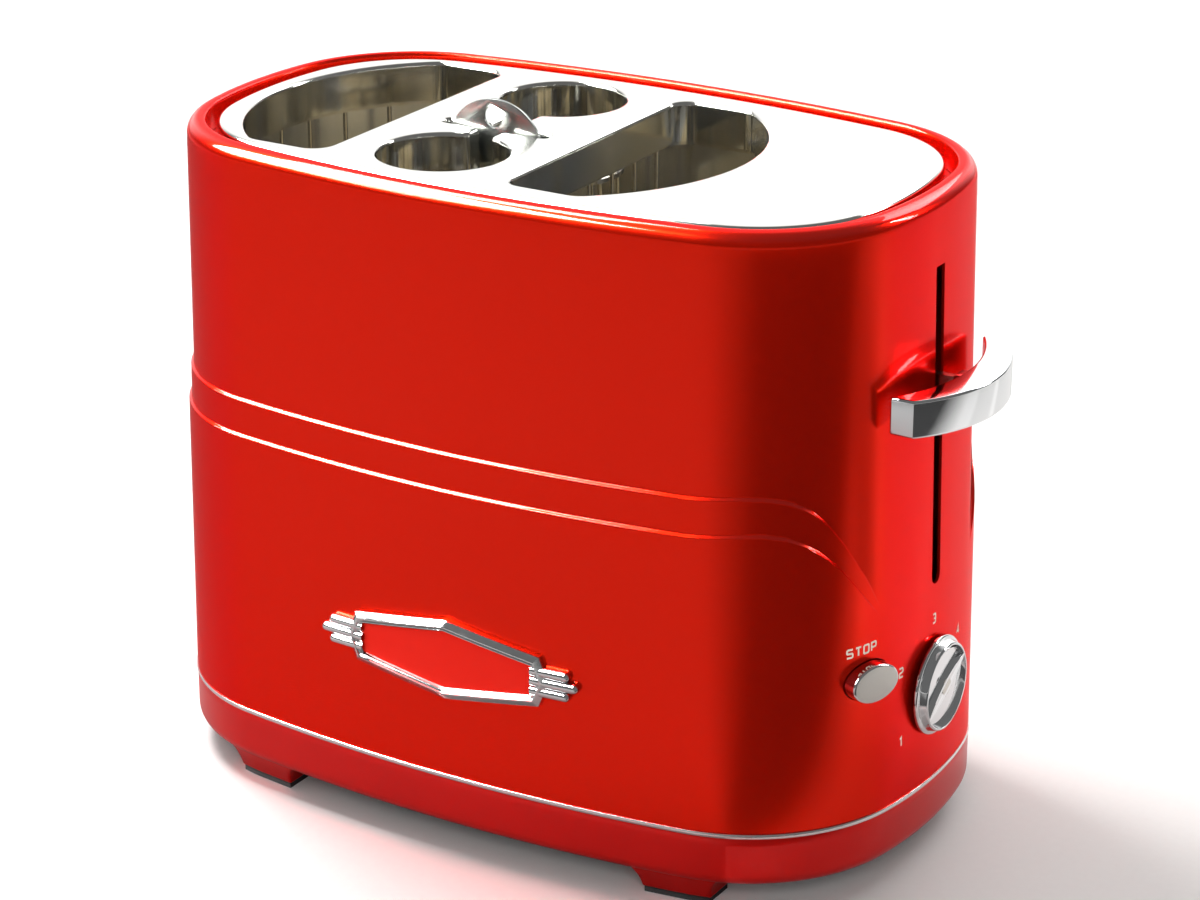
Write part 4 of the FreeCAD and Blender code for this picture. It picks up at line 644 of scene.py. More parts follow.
buttonPlace, buttonWay = shellSpot(button["angle"], button["height"])
skin = cutFrom(makeShell(), [
    endSlotTool(),
    roundTool("shaftTool", (oval["halfLength"], 0, dial["height"]), (1, 0, 0), dial["shaftHole"],
              dial["shaftHole"], dial["toolReach"]),
    roundTool("buttonTool", buttonPlace, buttonWay, button["halfLength"] + button["gap"],
              button["halfHeight"] + button["gap"], button["toolReach"]),
], 40)
give(skin, "body", "red_enamel", "body_shell")
print("shell made:", len(skin.data.polygons), "faces")


# base moulding, its feet and the bright ring above it
skirt = {"top": 27, "bottom": 9, "edge": 4.5, "wall": 2.5, "windowHalf": 71, "windowLow": 10.6,
         "windowHigh": 21.2, "windowReach": (40, 100), "frontGap": 0.5, "frontWall": 2.4, "frontEdge": 0.5,
         "topEdge": ((0.5, 0), (0.15, 0.15), (0, 0.5)), "sideRows": (24, 20, 16)}
# the ring's outer edge is given as how far inwards and how far from its low or high side each point lies
trim = {"low": 27.02, "high": 28.58, "proud": 0.35, "deep": 0.8, "edge": ((0.25, 0), (0.05, 0.25), (0, 0.6))}
foot = {"x": 83, "inner": 55.2, "innerFlare": 4, "lowHalf": 12, "flare": 6.5, "flarePower": 2.4, "low": 2,
        "high": 13, "lowInset": 4.6, "insetPower": 0.8, "highInset": 0.12, "edge": 1.6}
foodX = -27.5


def skirtProfile():
    low, edge = skirt["bottom"], skirt["edge"]
    rows = [(inwards, skirt["top"] - down) for inwards, down in skirt["topEdge"]]
    rows += [(0, z) for z in skirt["sideRows"]]
    return rows + [(inwards, low + edge - up) for inwards, up in quarter(edge, 9)]


def makeSkirt():
    wall, edge, low, half = skirt["wall"], skirt["edge"], skirt["bottom"], skirt["windowHalf"]
    angles = ovalAngles(bandStep)
    rows = skirtProfile() + [(edge + 1, low), (wall, low + edge), (wall, skirt["top"])]
    loops = [ovalLoop(angles, *row) for row in rows]
    piece = makePiece("skirt", stacked(loops + loops[:1], False), "redPlastic", sharp=40)
    window = prism(rectangle(foodX - half, foodX + half, *skirt["windowReach"]), skirt["windowLow"],
                   skirt["windowHigh"])
    return cutFrom(piece, [makePiece("windowTool", window, "redPlastic")], 40)


def ovalSide(x, inset):
    # how far the oval reaches sideways at x
    low, high = 0, math.pi / 2
    for _ in range(40):
        middle = (low + high) / 2
        if ovalPoint(middle, inset)[0] > x:
            low = middle
        else:
            high = middle
    return ovalPoint(middle, inset)[1]


def makeFoot(name, signX, signY):
    loops = []
    for t in spread(0, 1, 12):
        z, wider = foot["low"] + (foot["high"] - foot["low"]) * t, t ** foot["flarePower"]
        half, inner = foot["lowHalf"] + foot["flare"] * wider, foot["inner"] - foot["innerFlare"] * wider
        inset = foot["lowInset"] * (1 - t) ** foot["insetPower"] + foot["highInset"]
        xs = spread(foot["x"] - half, foot["x"] + half, 12)
        loop = [(x, ovalSide(x, inset)) for x in xs] + [(xs[-1], inner), (foot["x"], inner), (xs[0], inner)]
        loops.append([(x * signX, y * signY, z) for x, y in loop])
    return bevelled(makePiece(name, stacked(loops), "redPlastic"), foot["edge"], segments=4, sharp=40)


def ringShape():
    deep, proud, low, high = trim["deep"], trim["proud"], trim["low"], trim["high"]
    lowEdge = [(proud - inwards, low + up) for inwards, up in trim["edge"]]
    highEdge = [(proud - inwards, high - down) for inwards, down in reversed(trim["edge"])]
    return [(-deep, low), *lowEdge, *highEdge, (-deep, high)]


give(makeSkirt(), "body", "red_plastic", "base_skirt")
for end, signY in (("Front", -1), ("Back", 1)):
    for side, signX in (("Left", -1), ("Right", 1)):
        give(makeFoot("foot" + end + side, signX, signY), "body", "red_plastic")
trimBand = sweep("trimBand", [ovalLoop(ovalAngles(bandStep), 0, 0)], ringShape(), "trim", 50)
give(trimBand, "body", "bright_trim", "trim_ring")


def makeTrayFront():
    # the tray's front carries the moulding's curve across its window
    edge, gap, half = skirt["edge"], skirt["frontGap"], skirt["windowHalf"] - skirt["frontGap"]
    low, high = skirt["windowLow"] + gap, skirt["windowHigh"] - gap
    edgeInset = edge - math.sqrt(edge ** 2 - (skirt["bottom"] + edge - low) ** 2)
    rows = [(0.0, high)] + [(inset, z) for inset, z in skirtProfile() if low < z < high] + [(edgeInset, low)]
    rows += [(skirt["frontWall"], low), (skirt["frontWall"], high)]
    xs = spread(foodX - half, foodX + half, 60)
    loops = [[(x, ovalSide(abs(x), inset), z) for inset, z in rows] for x in xs]
    return bevelled(makePiece("trayFront", stacked(loops), "redPlastic"), skirt["frontEdge"], sharp=40)


give(makeTrayFront(), "tray", "red_plastic", "drip_tray_front")
print("base made")

# top plate with rolled edges round its openings
plate = {"top": 229, "inset": 15.3, "edgeRoll": 1.6, "edgeLow": 221, "edgeSlant": 0.6, "flange": 11.5,
         "openingRoll": 1.5, "collarLow": 215, "sheet": 0.9,
         "gap": 35.5, "arcCentre": 19, "arcRadius": 72, "slotHalf": 57, "corner": 7,
         "holeY": 37.5, "holeRadius": 22, "neckHalf": 4.25, "neckFillet": 2.5, "tabY": -5, "tabHalf": 2.5,
         "tabReach": 20.8, "tabFillet": 2.2, "tabEnd": 1.5, "flatWeight": 90}


def arcPath(arcs, grow, step=1.6):
    # arcs are (x, y, radius, first angle, last angle); a falling angle bends inwards
    loop = []
    for x, y, radius, first, last in arcs:
        actual = radius + grow if last > first else radius - grow
        count = max(3, math.ceil(abs(last - first) * math.pi / 180 * radius / step))
        for i in range(count + 1):
            turn = math.radians(first + (last - first) * i / count)
            loop.append((x + actual * math.cos(turn), y + actual * math.sin(turn)))
    return loop


def slotLoop(side, grow):
    r, half = plate["corner"], plate["slotHalf"] - plate["corner"]
    reach = math.sqrt((plate["arcRadius"] - r) ** 2 - half ** 2)
    turn = math.degrees(math.atan2(half, reach))
    farX, nearX = plate["arcCentre"] + reach, plate["gap"] + r
    arcs = [(plate["arcCentre"], 0, plate["arcRadius"], -turn, turn), (farX, half, r, turn, 90),
            (nearX, half, r, 90, 180), (nearX, -half, r, 180, 270), (farX, -half, r, 270, 360 - turn)]
    loop = arcPath(arcs, grow)
    if side < 0:
        loop = [(-x, y) for x, y in reversed(loop)]
    return [(foodX + x, y) for x, y in loop]


def cageLoop(grow):
    p = plate
    f, n = p["neckFillet"], p["neckHalf"]
    up = math.sqrt((p["holeRadius"] + f) ** 2 - (n + f) ** 2)
    turn = math.degrees(math.atan2(up, n + f))
    frontY, rearY = -p["holeY"], p["holeY"]
    t, e, reach = p["tabFillet"], p["tabEnd"], p["tabReach"] - p["tabEnd"]
    low, high = p["tabY"] - p["tabHalf"], p["tabY"] + p["tabHalf"]
    arcs = [
        (0, frontY, p["holeRadius"], 180 - turn, 360 + turn),
        (n + f, frontY + up, f, 180 + turn, 180),
        (n + t, low - t, t, 180, 90),
        (reach, low + e, e, 270, 360), (reach, high - e, e, 0, 90),
        (n + t, high + t, t, 270, 180),
        (n + f, rearY - up, f, 180, 180 - turn),
        (0, rearY, p["holeRadius"], -turn, 180 + turn),
        (-n - f, rearY - up, f, turn, 0),
        (-n - t, high + t, t, 0, -90),
        (-reach, high - e, e, 90, 180), (-reach, low + e, e, 180, 270),
        (-n - t, low - t, t, 90, 0),
        (-n - f, frontY + up, f, 0, -turn),
    ]
    return [(foodX + x, y) for x, y in arcPath(arcs, grow)]


openingLoops = [lambda grow: slotLoop(-1, grow), lambda grow: slotLoop(1, grow), cageLoop]


def rolled(radius, start):
    # the rows of a rolled edge, from its top down to its side
    low = plate["top"] - radius
    return [(start + inwards, low + up) for inwards, up in reversed(quarter(radius, 7))]


def makePlate():
    top, sheet, inset, flange = plate["top"], plate["sheet"], plate["inset"], plate["flange"]
    angles = ovalAngles(bandStep)
    low, roll = plate["collarLow"], plate["openingRoll"]
    rows = rolled(roll, 0) + [(0, low), (sheet, low), (sheet, top - roll)]
    walls = [[[(x, y, z) for x, y in shape(grow)] for grow, z in rows] for shape in openingLoops]
    low, roll, slant = plate["edgeLow"], plate["edgeRoll"], plate["edgeSlant"]
    rows = rolled(roll, inset) + [(inset, low + slant), (inset - slant, low), (flange, low)]
    rows += [(flange, low - sheet), (inset + sheet, low - sheet), (inset + sheet, top - roll)]
    walls.append([ovalLoop(angles, *row) for row in rows])
    # the flat face is filled between the first loops of the walls
    work = bmesh.new()
    edges = []
    for wall in walls:
        ring = [work.verts.new(Vector(p) * mm) for p in wall[0]]
        for i, vert in enumerate(ring):
            if (vert.co - ring[i - 1].co).length > fineWeld / 10:
                edges.append(work.edges.new((ring[i - 1], vert)))
    bmesh.ops.remove_doubles(work, verts=work.verts, dist=fineWeld)
    bmesh.ops.triangle_fill(work, edges=work.edges, use_beauty=True)
    for face in work.faces:
        if face.normal.z < 0:
            face.normal_flip()
    flat = bpy.data.meshes.new("plateFlat")
    work.to_mesh(flat)
    work.free()
    form = merged([stacked(wall, False) for wall in walls])
    piece = makePiece("topPlate", form, "plate", sharp=40, tidy=False)
    work = bmesh.new()
    work.from_mesh(piece.data)
    work.from_mesh(flat)
    bpy.data.meshes.remove(flat)
    bmesh.ops.remove_doubles(work, verts=work.verts, dist=fineWeld)
    bmesh.ops.recalc_face_normals(work, faces=work.faces)
    up = sum(face.normal.z * face.calc_area() for face in work.faces if abs(face.normal.z) > 0.9)
    if up < 0:
        bmesh.ops.reverse_faces(work, faces=work.faces)
    work.to_mesh(piece.data)
    work.free()
    shade(piece.data, 40)
    weighted = piece.modifiers.new("flatGloss", "WEIGHTED_NORMAL")
    weighted.mode = "FACE_AREA"
    weighted.weight = plate["flatWeight"]
    weighted.keep_sharp = True
    return applied(piece)


give(makePlate(), "body", "polished_steel", "top_plate")
print("top plate made")

# crescent lever
lever = {"low": 160.65, "high": 173.35, "outerX": 157.3, "outerRadius": 51, "innerX": 146, "innerRadius": 62,
         "half": 34, "edge": 0.9, "bossHalf": 3.5, "bossLow": 161.6, "bossHigh": 172.4, "bossReach": 3,
         "bossEdge": 0.8}
lug = {"low": 184.5, "high": 205.5, "outerX": 153.6, "outerRadius": 25.5, "innerX": 128, "innerRadius": 158,
       "half": 22, "edge": 2.5, "gap": 0.15, "cutHeights": (180, 195, 210)}


def bowLoop(p, count=48):
    ys = spread(-p["half"], p["half"], count)

    def arc(x, radius, y):
        return x - radius + math.sqrt(radius ** 2 - y ** 2)

    loop = [(arc(p["outerX"], p["outerRadius"], y), y) for y in ys]
    return loop + [(arc(p["innerX"], p["innerRadius"], y), y) for y in reversed(ys)]


def makeLever():
    half, x, reach = lever["bossHalf"], lever["innerX"], lever["bossReach"]
    bow = makePiece("leverBow", prism(bowLoop(lever), lever["low"], lever["high"]), "chrome")
    block = prism(rectangle(x - reach, x + reach, -half, half), lever["bossLow"], lever["bossHigh"])
    boss = makePiece("leverBoss", block, "chrome")
    return joined("lever", bevelled(bow, lever["edge"], segments=4), bevelled(boss, lever["bossEdge"]))


def makeLug():
    form = prism([(-x, y) for x, y in reversed(bowLoop(lug))], lug["low"], lug["high"])
    piece = bevelled(makePiece("endLug", form, "redPlastic"), lug["edge"], segments=5)
    # cut away up to a hair outside the shell
    loops = [[(*ovalPoint(a, shellInset(a, z) - lug["gap"]), z) for a in ovalAngles(4)]
             for z in lug["cutHeights"]]
    return cutFrom(piece, [makePiece("lugTool", stacked(loops), "redPlastic")], 40)


give(makeLever(), "carriage", "chrome", "lever_handle")
give(makeLug(), "body", "red_plastic", "end_grip")

# browning dial: a skirted disc with a scoop on each side of a lens shaped blade
knob = {"rim": ((3.1, 2.7), (3.1, 0), (16.7, 0), (17, 0.3), (17, 1), (16.94, 1.25), (16.77, 1.45),
                (16.5, 1.6), (16.2, 1.67), (15.7, 1.8), (15.5, 2.1), (15.15, 3.75), (15.02, 4.1),
                (14.8, 4.32), (14.5, 4.42), (14.2, 4.3), (14.1, 3.9), (14.1, 2.7)),
        "scoopRadius": 14.25, "top": 4.3, "depth": 2.7, "bladeHalf": 1.9, "tipHalf": 0.3, "hollow": 0.35,
        "back": 0.6, "valley": 0.3, "bladeShare": 0.2, "rimPower": 1.9, "fullWidth": 6,
        "endScale": 0.9995}


def dialPoint(s, t, h):
    # s runs along the blade, t across it, h out from the shell
    turn = math.radians(dial["rest"])
    y = s * math.sin(turn) + t * math.cos(turn)
    z = s * math.cos(turn) - t * math.sin(turn)
    return dial["back"] + h, y, dial["height"] + z


def scoopHeight(q, fall):
    # q runs from the blade's edge to the rim
    k = knob["valley"]
    share = smooth(q / k) if q < k else 1 - ((q - k) / (1 - k)) ** knob["rimPower"]
    return knob["top"] - fall * share


def makeKnob():
    loops = [[dialPoint(s, t, h) for s, t in ellipse(r, r, 96)] for r, h in knob["rim"]]
    ring = makePiece("dialRing", stacked(loops + loops[:1], False), "chrome", sharp=40)
    # rows run along the blade; the middle share of each crosses it, and the rest its two scoops
    rows, half, radius, share = 72, 22, knob["scoopRadius"], knob["bladeShare"]
    top = []
    for turn in spread(-math.pi / 2, math.pi / 2, rows):
        s = radius * math.sin(turn) * knob["endScale"]
        wide = math.sqrt(radius ** 2 - s ** 2)
        swell = (knob["bladeHalf"] - knob["tipHalf"]) * (1 - (s / radius) ** 2)
        blade = min(knob["tipHalf"] + swell, wide / 2)
        for j in range(-half, half + 1):
            q = abs(j) / half
            if q <= share:
                across = blade * q / share
                h = knob["top"] - knob["hollow"] * (blade / knob["bladeHalf"]) * (1 - (q / share) ** 2)
            else:
                q = (q - share) / (1 - share)
                across = blade + (wide - blade) * q
                h = scoopHeight(q, knob["depth"] * min(1, wide / knob["fullWidth"]))
            top.append((s, math.copysign(across, j), h))
    columns, total = 2 * half, len(top)
    quads = gridFaces(rows, columns)
    faces = [face for quad in quads for face in (quad, tuple(total + k for k in reversed(quad)))]
    border = list(range(columns + 1)) + [i * (columns + 1) + columns for i in range(1, rows + 1)]
    border += [rows * (columns + 1) + j for j in reversed(range(columns))]
    border += [i * (columns + 1) for i in range(rows - 1, 0, -1)]
    faces += [(a, b, total + b, total + a) for a, b in zip(border, border[1:] + border[:1])]
    vertices = [dialPoint(*point) for point in top] + [dialPoint(s, t, knob["back"]) for s, t, h in top]
    return joined("dialKnob", ring, makePiece("dialScoops", (vertices, faces), "chrome", sharp=38))


give(makeKnob(), "dial", "chrome", "dial_knob")


def makeButton():
    a, b, edge, reach = button["halfLength"], button["halfHeight"], button["edge"], button["reach"]
    rows = [(0, button["root"])] + [(inwards, reach - edge + up) for inwards, up in quarter(edge, 6)]
    rows += [(edge + inwards, reach + up) for inwards, up in button["crown"]]
    form = ovalStack(buttonPlace, buttonWay, [(a - shrink, b - shrink, out) for shrink, out in rows], 72)
    piece = makePiece("stopButton", form, "chrome", sharp=40)
    # its crown is satin
    piece.data.materials.append(finishes["satin"])
    for face in piece.data.polygons:
        if face.normal.dot(buttonWay) > button["crownFacing"]:
            face.material_index = 1
    return piece


give(makeButton(), "stop_button", "chrome", "stop_button")
print("lever, dial and button made")

# badge: a bare red panel in a bevelled chrome frame with three bars at each end
badge = {"x": 1.2, "z": 71.3, "tip": 39.6, "shoulder": 36, "endHalf": 8.8, "midHalf": 14.2,
         # the frame's section: how far in from its outline and how far out from the shell each point lies
         "profile": ((0, -0.2), (0, 1.5), (0.12, 1.8), (0.4, 2.0), (2.0, 3.0), (2.25, 3.05), (2.45, 2.95),
                     (2.7, 2.35), (2.85, 2.25), (3.0, 2.3), (3.35, 2.5), (3.5, 2.5), (3.65, 2.4), (4.1, 1.5),
                     (4.1, 0.3)),
         "barRadius": 1.75, "barStart": 33, "barReach": (47.2, 50.4, 47.2), "barPitch": 3.5, "barOut": 1.1,
         "inlayOut": 1.6, "inlayShrink": 4.12, "inlayDeep": 1.2, "inlayTip": 0.01}


def badgeCorners(shrink):
    # the outline's eight corners, anticlockwise from the lower left, moved inwards
    x, z, middle, tip = badge["shoulder"], badge["endHalf"], badge["midHalf"], badge["tip"]
    ring = [(-x, -z), (0, -middle), (x, -z), (tip, 0), (x, z), (0, middle), (-x, z), (-tip, 0)]
    ring = [Vector(p) for p in ring]
    moved = []
    for i, point in enumerate(ring):
        before, after = (point - ring[i - 1]).normalized(), (ring[(i + 1) % len(ring)] - point).normalized()
        inwardA, inwardB = Vector((-before.y, before.x)), Vector((-after.y, after.x))
        way = (inwardA + inwardB).normalized()
        moved.append(point + way * shrink / way.dot(inwardA))
    return moved


def frontPoint(x, z, out):
    # a point over the front face, out from the shell
    z += badge["z"]
    y = ovalSide(abs(x + badge["x"]), shellInset(-math.pi / 2, z) - out)
    return x + badge["x"], -y, z


def badgeLoop(shrink, out, parts=12):
    corners = badgeCorners(shrink)
    loop = []
    for i, point in enumerate(corners):
        after = corners[(i + 1) % len(corners)]
        loop += [frontPoint(*point.lerp(after, j / parts), out) for j in range(parts)]
    return loop


def makeCap(centre, radius):
    # a ball over the bar's end
    loops = [[(centre[0] + a, centre[1] + b, centre[2] + radius * math.cos(turn))
              for a, b in ellipse(radius * math.sin(turn), radius * math.sin(turn), 24)]
             for turn in spread(0, math.pi, 10)[1:-1]]
    return makePiece("cap", stacked(loops), "chrome", sharp=60)


def makeBadgeFrame():
    form = stacked([badgeLoop(shrink, out) for shrink, out in badge["profile"]], False)
    ring = makePiece("badgeRing", form, "chrome", sharp=18)
    radius = badge["barRadius"]
    lines = [[frontPoint(side * x, (row - 1) * badge["barPitch"], badge["barOut"])
              for x in spread(badge["barStart"], reach - radius, 6)]
             for side in (-1, 1) for row, reach in enumerate(badge["barReach"])]
    profile = [(u, -v) for u, v in ellipse(radius, radius, 24)]
    bars = sweep("badgeBars", lines, profile, "chrome", 40, closed=False)
    return joined("badgeFrame", ring, bars, *[makeCap(line[-1], radius) for line in lines])


def makeInlay():
    corners = badgeCorners(badge["inlayShrink"])
    tip = corners[3].x

    def edge(x, low):
        line = [corners[i] for i in ((7, 0, 1, 2, 3) if low else (7, 6, 5, 4, 3))]
        a, b = next((pair for pair in zip(line, line[1:]) if x <= pair[1].x + 1e-9))
        return a.y + (b.y - a.y) * (x - a.x) / (b.x - a.x)

    end = tip - badge["inlayTip"]
    xs = sorted({*spread(-end, end, 72), corners[4].x, corners[6].x})
    columns = [(x, spread(edge(x, True), edge(x, False), 10)) for x in xs]
    vertices = [frontPoint(x, z, badge["inlayOut"]) for x, zs in columns for z in zs]
    piece = makePiece("badgeInlay", (vertices, gridFaces(len(xs) - 1, 10)), "inlay", sharp=40)
    work = bmesh.new()
    work.from_mesh(piece.data)
    if sum(face.normal.y for face in work.faces) > 0:
        bmesh.ops.reverse_faces(work, faces=work.faces)
    work.to_mesh(piece.data)
    work.free()
    solid = piece.modifiers.new("depth", "SOLIDIFY")
    solid.thickness, solid.offset = badge["inlayDeep"] * mm, -1
    return applied(piece, 40)


give(makeBadgeFrame(), "body", "chrome", "badge_frame")
give(makeInlay(), "body", "red_inlay", "badge_inlay")
print("badge made")

# printed numbers and STOP, drawn as strokes
marks = {"stroke": 0.68, "raise": 0.05, "numberHeight": 3.1,
         # each number's degrees round the dial from straight up, and its distance from the dial's middle
         "numberAt": ((-120, 25.2), (-61, 25.2), (-2, 23.8), (60, 23.4), (124, 26.8)),
         "stopHeight": 2.8, "stopPitch": 3.5, "stopAngle": -23.3, "stopZ": 88.6}
strokes = {
    # width, then lines in a box one unit high
    "S": (0.78, [[(0.78, 0.98), (0.12, 1), (0, 0.9), (0, 0.6), (0.1, 0.52), (0.68, 0.5), (0.78, 0.4),
                  (0.78, 0.1), (0.66, 0), (0, 0.02)]]),
    "T": (0.78, [[(0, 1), (0.78, 1)], [(0.39, 1), (0.39, 0)]]),
    "O": (0.8, [[(0.1, 0), (0.7, 0), (0.8, 0.1), (0.8, 0.9), (0.7, 1), (0.1, 1), (0, 0.9), (0, 0.1),
                 (0.1, 0)]]),
    "P": (0.76, [[(0, 0), (0, 1), (0.66, 1), (0.76, 0.9), (0.76, 0.52), (0.66, 0.42), (0, 0.42)]]),
    "1": (0.25, [[(0, 0.8), (0.25, 1), (0.25, 0)]]),
    "2": (0.6, [[(0, 0.95), (0.1, 1), (0.5, 1), (0.6, 0.9), (0.6, 0.6), (0.5, 0.5), (0.1, 0.46), (0, 0.36),
                 (0, 0), (0.62, 0)]]),
    "3": (0.6, [[(0, 1), (0.5, 1), (0.6, 0.9), (0.6, 0.6), (0.48, 0.52), (0.2, 0.52)],
                [(0.48, 0.52), (0.6, 0.42), (0.6, 0.1), (0.5, 0), (0, 0)]]),
    "4": (0.65, [[(0.48, 0), (0.48, 1), (0, 0.3), (0.65, 0.3)]]),
    "5": (0.6, [[(0.58, 1), (0.04, 1), (0, 0.55), (0.48, 0.58), (0.6, 0.48), (0.6, 0.1), (0.5, 0),
                 (0, 0.02)]]),
}


def strokeStrip(points, half):
    left, right = [], []
    for i, point in enumerate(points):
        before = (point - points[i - 1]).normalized() if i else None
        after = (points[i + 1] - point).normalized() if i < len(points) - 1 else None
        before, after = before or after, after or before
        normal = (Vector((-before.y, before.x)) + Vector((-after.y, after.x))).normalized()
        reach = half / max(0.5, normal.dot(Vector((-before.y, before.x))))
        left.append(point + normal * reach)
        right.append(point - normal * reach)
    return left, right


def drawGlyph(glyph, height, centre, spot):
    width, lines = strokes[glyph]
    forms = []
    for line in lines:
        points = [Vector(centre) + Vector((x - width / 2, y - 0.5)) * height for x, y in line]
        closed = line[0] == line[-1]
        if closed:
            points = [points[-2]] + points + [points[1]]
        left, right = strokeStrip(points, marks["stroke"] / 2)
        if closed:
            left, right = left[1:-1], right[1:-1]
        forms.append(([spot(*p) for pair in zip(left, right) for p in pair],
                      [(i, i + 1, i + 3, i + 2) for i in range(0, 2 * len(left) - 2, 2)]))
    return merged(forms)


def printSpot(angle, z):
    return (*ovalPoint(angle, shellInset(angle, z) - marks["raise"]), z)


def endSpot(across, z):
    return printSpot(math.asin(across / oval["endRadius"]), z)


def stopSpot(across, z):
    return printSpot(math.radians(marks["stopAngle"]) + across / oval["cornerRadius"], z)


def makePrint():
    forms = []
    for glyph, (degrees, radius) in zip("12345", marks["numberAt"]):
        turn = math.radians(degrees)
        centre = (radius * math.sin(turn), dial["height"] + radius * math.cos(turn))
        forms.append(drawGlyph(glyph, marks["numberHeight"], centre, endSpot))
    for i, glyph in enumerate("STOP"):
        centre = ((i - 1.5) * marks["stopPitch"], marks["stopZ"])
        forms.append(drawGlyph(glyph, marks["stopHeight"], centre, stopSpot))
    piece = makePiece("printedMarks", merged(forms), "ink", sharp=40, tidy=False)
    for face in piece.data.polygons:
        if face.normal.x < 0:
            face.flip()
    return piece


give(makePrint(), "body", "red_enamel")
print("marks printed")

# cage: two wire baskets and the tab that lifts them
tab = {"y": -5, "half": 0.7, "radius": 19.3, "drop": 3, "centreZ": 219.7, "low": 205, "neckHalf": 9,
       "holeX": -1, "holeZ": 232.6, "holeRadius": 3.6, "toolReach": 5, "edge": 0.3}
basket = {"radius": 19.4, "wire": 0.8, "count": 10, "low": 119.2, "top": 205, "floor": 1, "hole": 5,
          "ringWall": 1, "strapHalf": 3, "strapHeight": 1.6}


def makeTab():
    radius, y, neck, low = tab["radius"], tab["y"], tab["neckHalf"], tab["centreZ"] - tab["drop"]
    first = math.asin(-tab["drop"] / radius)
    outline = [(foodX + radius * math.cos(turn), tab["centreZ"] + radius * math.sin(turn))
               for turn in spread(first, math.pi - first, 60)]
    outline += [(foodX - neck, low), (foodX - neck, tab["low"])]
    outline += [(foodX + neck, tab["low"]), (foodX + neck, low)]
    form = stacked([[(x, side, z) for x, z in outline] for side in (y + tab["half"], y - tab["half"])])
    tool = roundTool("tabTool", (foodX + tab["holeX"], y, tab["holeZ"]), (0, 1, 0), tab["holeRadius"],
                     tab["holeRadius"], tab["toolReach"], 40)
    piece = cutFrom(makePiece("liftTab", form, "stamped"), [tool], 30)
    return bevelled(piece, tab["edge"], segments=2, angle=60, sharp=30)


def turned(name, y, z, section):
    # a section of (radius, height) turned about an upright axis
    loops = [[(foodX + a, y + b, z + h) for a, b in ellipse(r, r, 72)] for r, h in section + section[:1]]
    return makePiece(name, stacked(loops, False), "wire", sharp=40)


def makeCage():
    b = basket
    outer, thick = b["radius"] + b["wire"], 2 * b["wire"]
    parts = []
    for y in (-plate["holeY"], plate["holeY"]):
        for z in ((b["low"] + b["top"]) / 2, b["top"] - thick):
            parts.append(turned("ring", y, z, rectangle(outer, outer + b["ringWall"], 0, thick)))
        parts.append(turned("floor", y, b["low"], rectangle(b["hole"], outer, 0, b["floor"])))
        places = [(foodX + x, y + across) for x, across in ellipse(b["radius"], b["radius"], b["count"], 0.5)]
        parts.append(rods("wires", places, b["wire"], b["low"] + b["floor"], b["top"], "wire"))
    reach, half = plate["holeY"] - outer, b["strapHalf"]
    strap = prism(rectangle(foodX - half, foodX + half, -reach, reach), b["top"] - b["strapHeight"], b["top"])
    return joined("hotDogCage", *parts, makePiece("strap", strap, "wire"))


give(makeTab(), "cage", "polished_steel", "cage_tab")
give(makeCage(), "cage", "steel_wire", "hot_dog_cage")

# guards that keep the buns off the heaters
guard = {"clear": 1.6, "wide": 1.4, "wire": 0.8, "pitch": 15, "low": 25, "high": 214.7}


def makeGuard(name, side):
    wide, low, high = guard["wide"], guard["low"], guard["high"]
    middle, half = guard["clear"] + wide / 2, wide / 2
    loops = [[(x, y, z) for x, y in slotLoop(side, middle)] for z in (low + half, high - half)]
    hoops = sweep("hoops", loops, rectangle(-half, half, -half, half), "wire", 40)
    count = int((plate["slotHalf"] - plate["corner"]) // guard["pitch"])
    places = []
    for i in range(-count, count + 1):
        y = i * guard["pitch"]
        far = plate["arcCentre"] + math.sqrt((plate["arcRadius"] + middle) ** 2 - y ** 2)
        places += [(foodX + side * (plate["gap"] - middle), y), (foodX + side * far, y)]
    return joined(name, hoops, rods("wires", places, guard["wire"], low + wide, high - wide, "wire"))


give(makeGuard("bunGuardLeft", -1), "body", "steel_wire", "bun_guide_left")
give(makeGuard("bunGuardRight", 1), "body", "steel_wire", "bun_guide_right")
print("cage and guards made")

# studio: pale floor, a bright sky behind, a dim room in front, and soft lamps
studio = {
    "floor": "#F1F0EE", "floorHalf": 6, "sky": 1.85, "room": 0.2, "skyWay": (-0.48, 0.80, 0.36),
    "skyEdge": (0.6, 0.96),
    # lamp: name, its place, what it faces, width, height, power in watts, and what it lights
    "lamps": (("overheadBank", (-0.67, 0.10, 1.32), (0, 0, 0.1), 0.5, 0.5, 22, "all"),
              ("windowBank", (-1.03, -0.62, 1.19), (-0.02, -0.08, 0.22), 1.3, 1.0, 160, "shine"),
              ("endBank", (1.0, 0.98, 0.72), (0.13, 0, 0.22), 0.1, 0.5, 4, "shine"),
              ("backdropBank", (0.2, 1.9, 1.4), (0, 1.5, 0), 1.6, 0.8, 20, "all"),
              ("fillBank", (1.0, -1.7, 1.1), (0.05, 0, 0.05), 1.4, 1.0, 15, "matte")),
    # shaded card on the floor, seen only in reflections: its hub, its reach, and its shade in each direction
    "cardHub": (0.115, -0.115), "cardReach": 1.3, "cardHeight": 0.002,
    "cardShades": ((-180, 0.78), (-112, 0.62), (-94, 0.58), (-56, 1), (10, 1), (32, 0.04), (41, 0.02),
                   (43, 0.16), (60, 0.16), (61, 0), (64.5, 0), (66, 0.2), (94, 0.3), (98, 0.62), (101, 0),
                   (106, 0), (110, 0.85), (179, 0.8)),
}


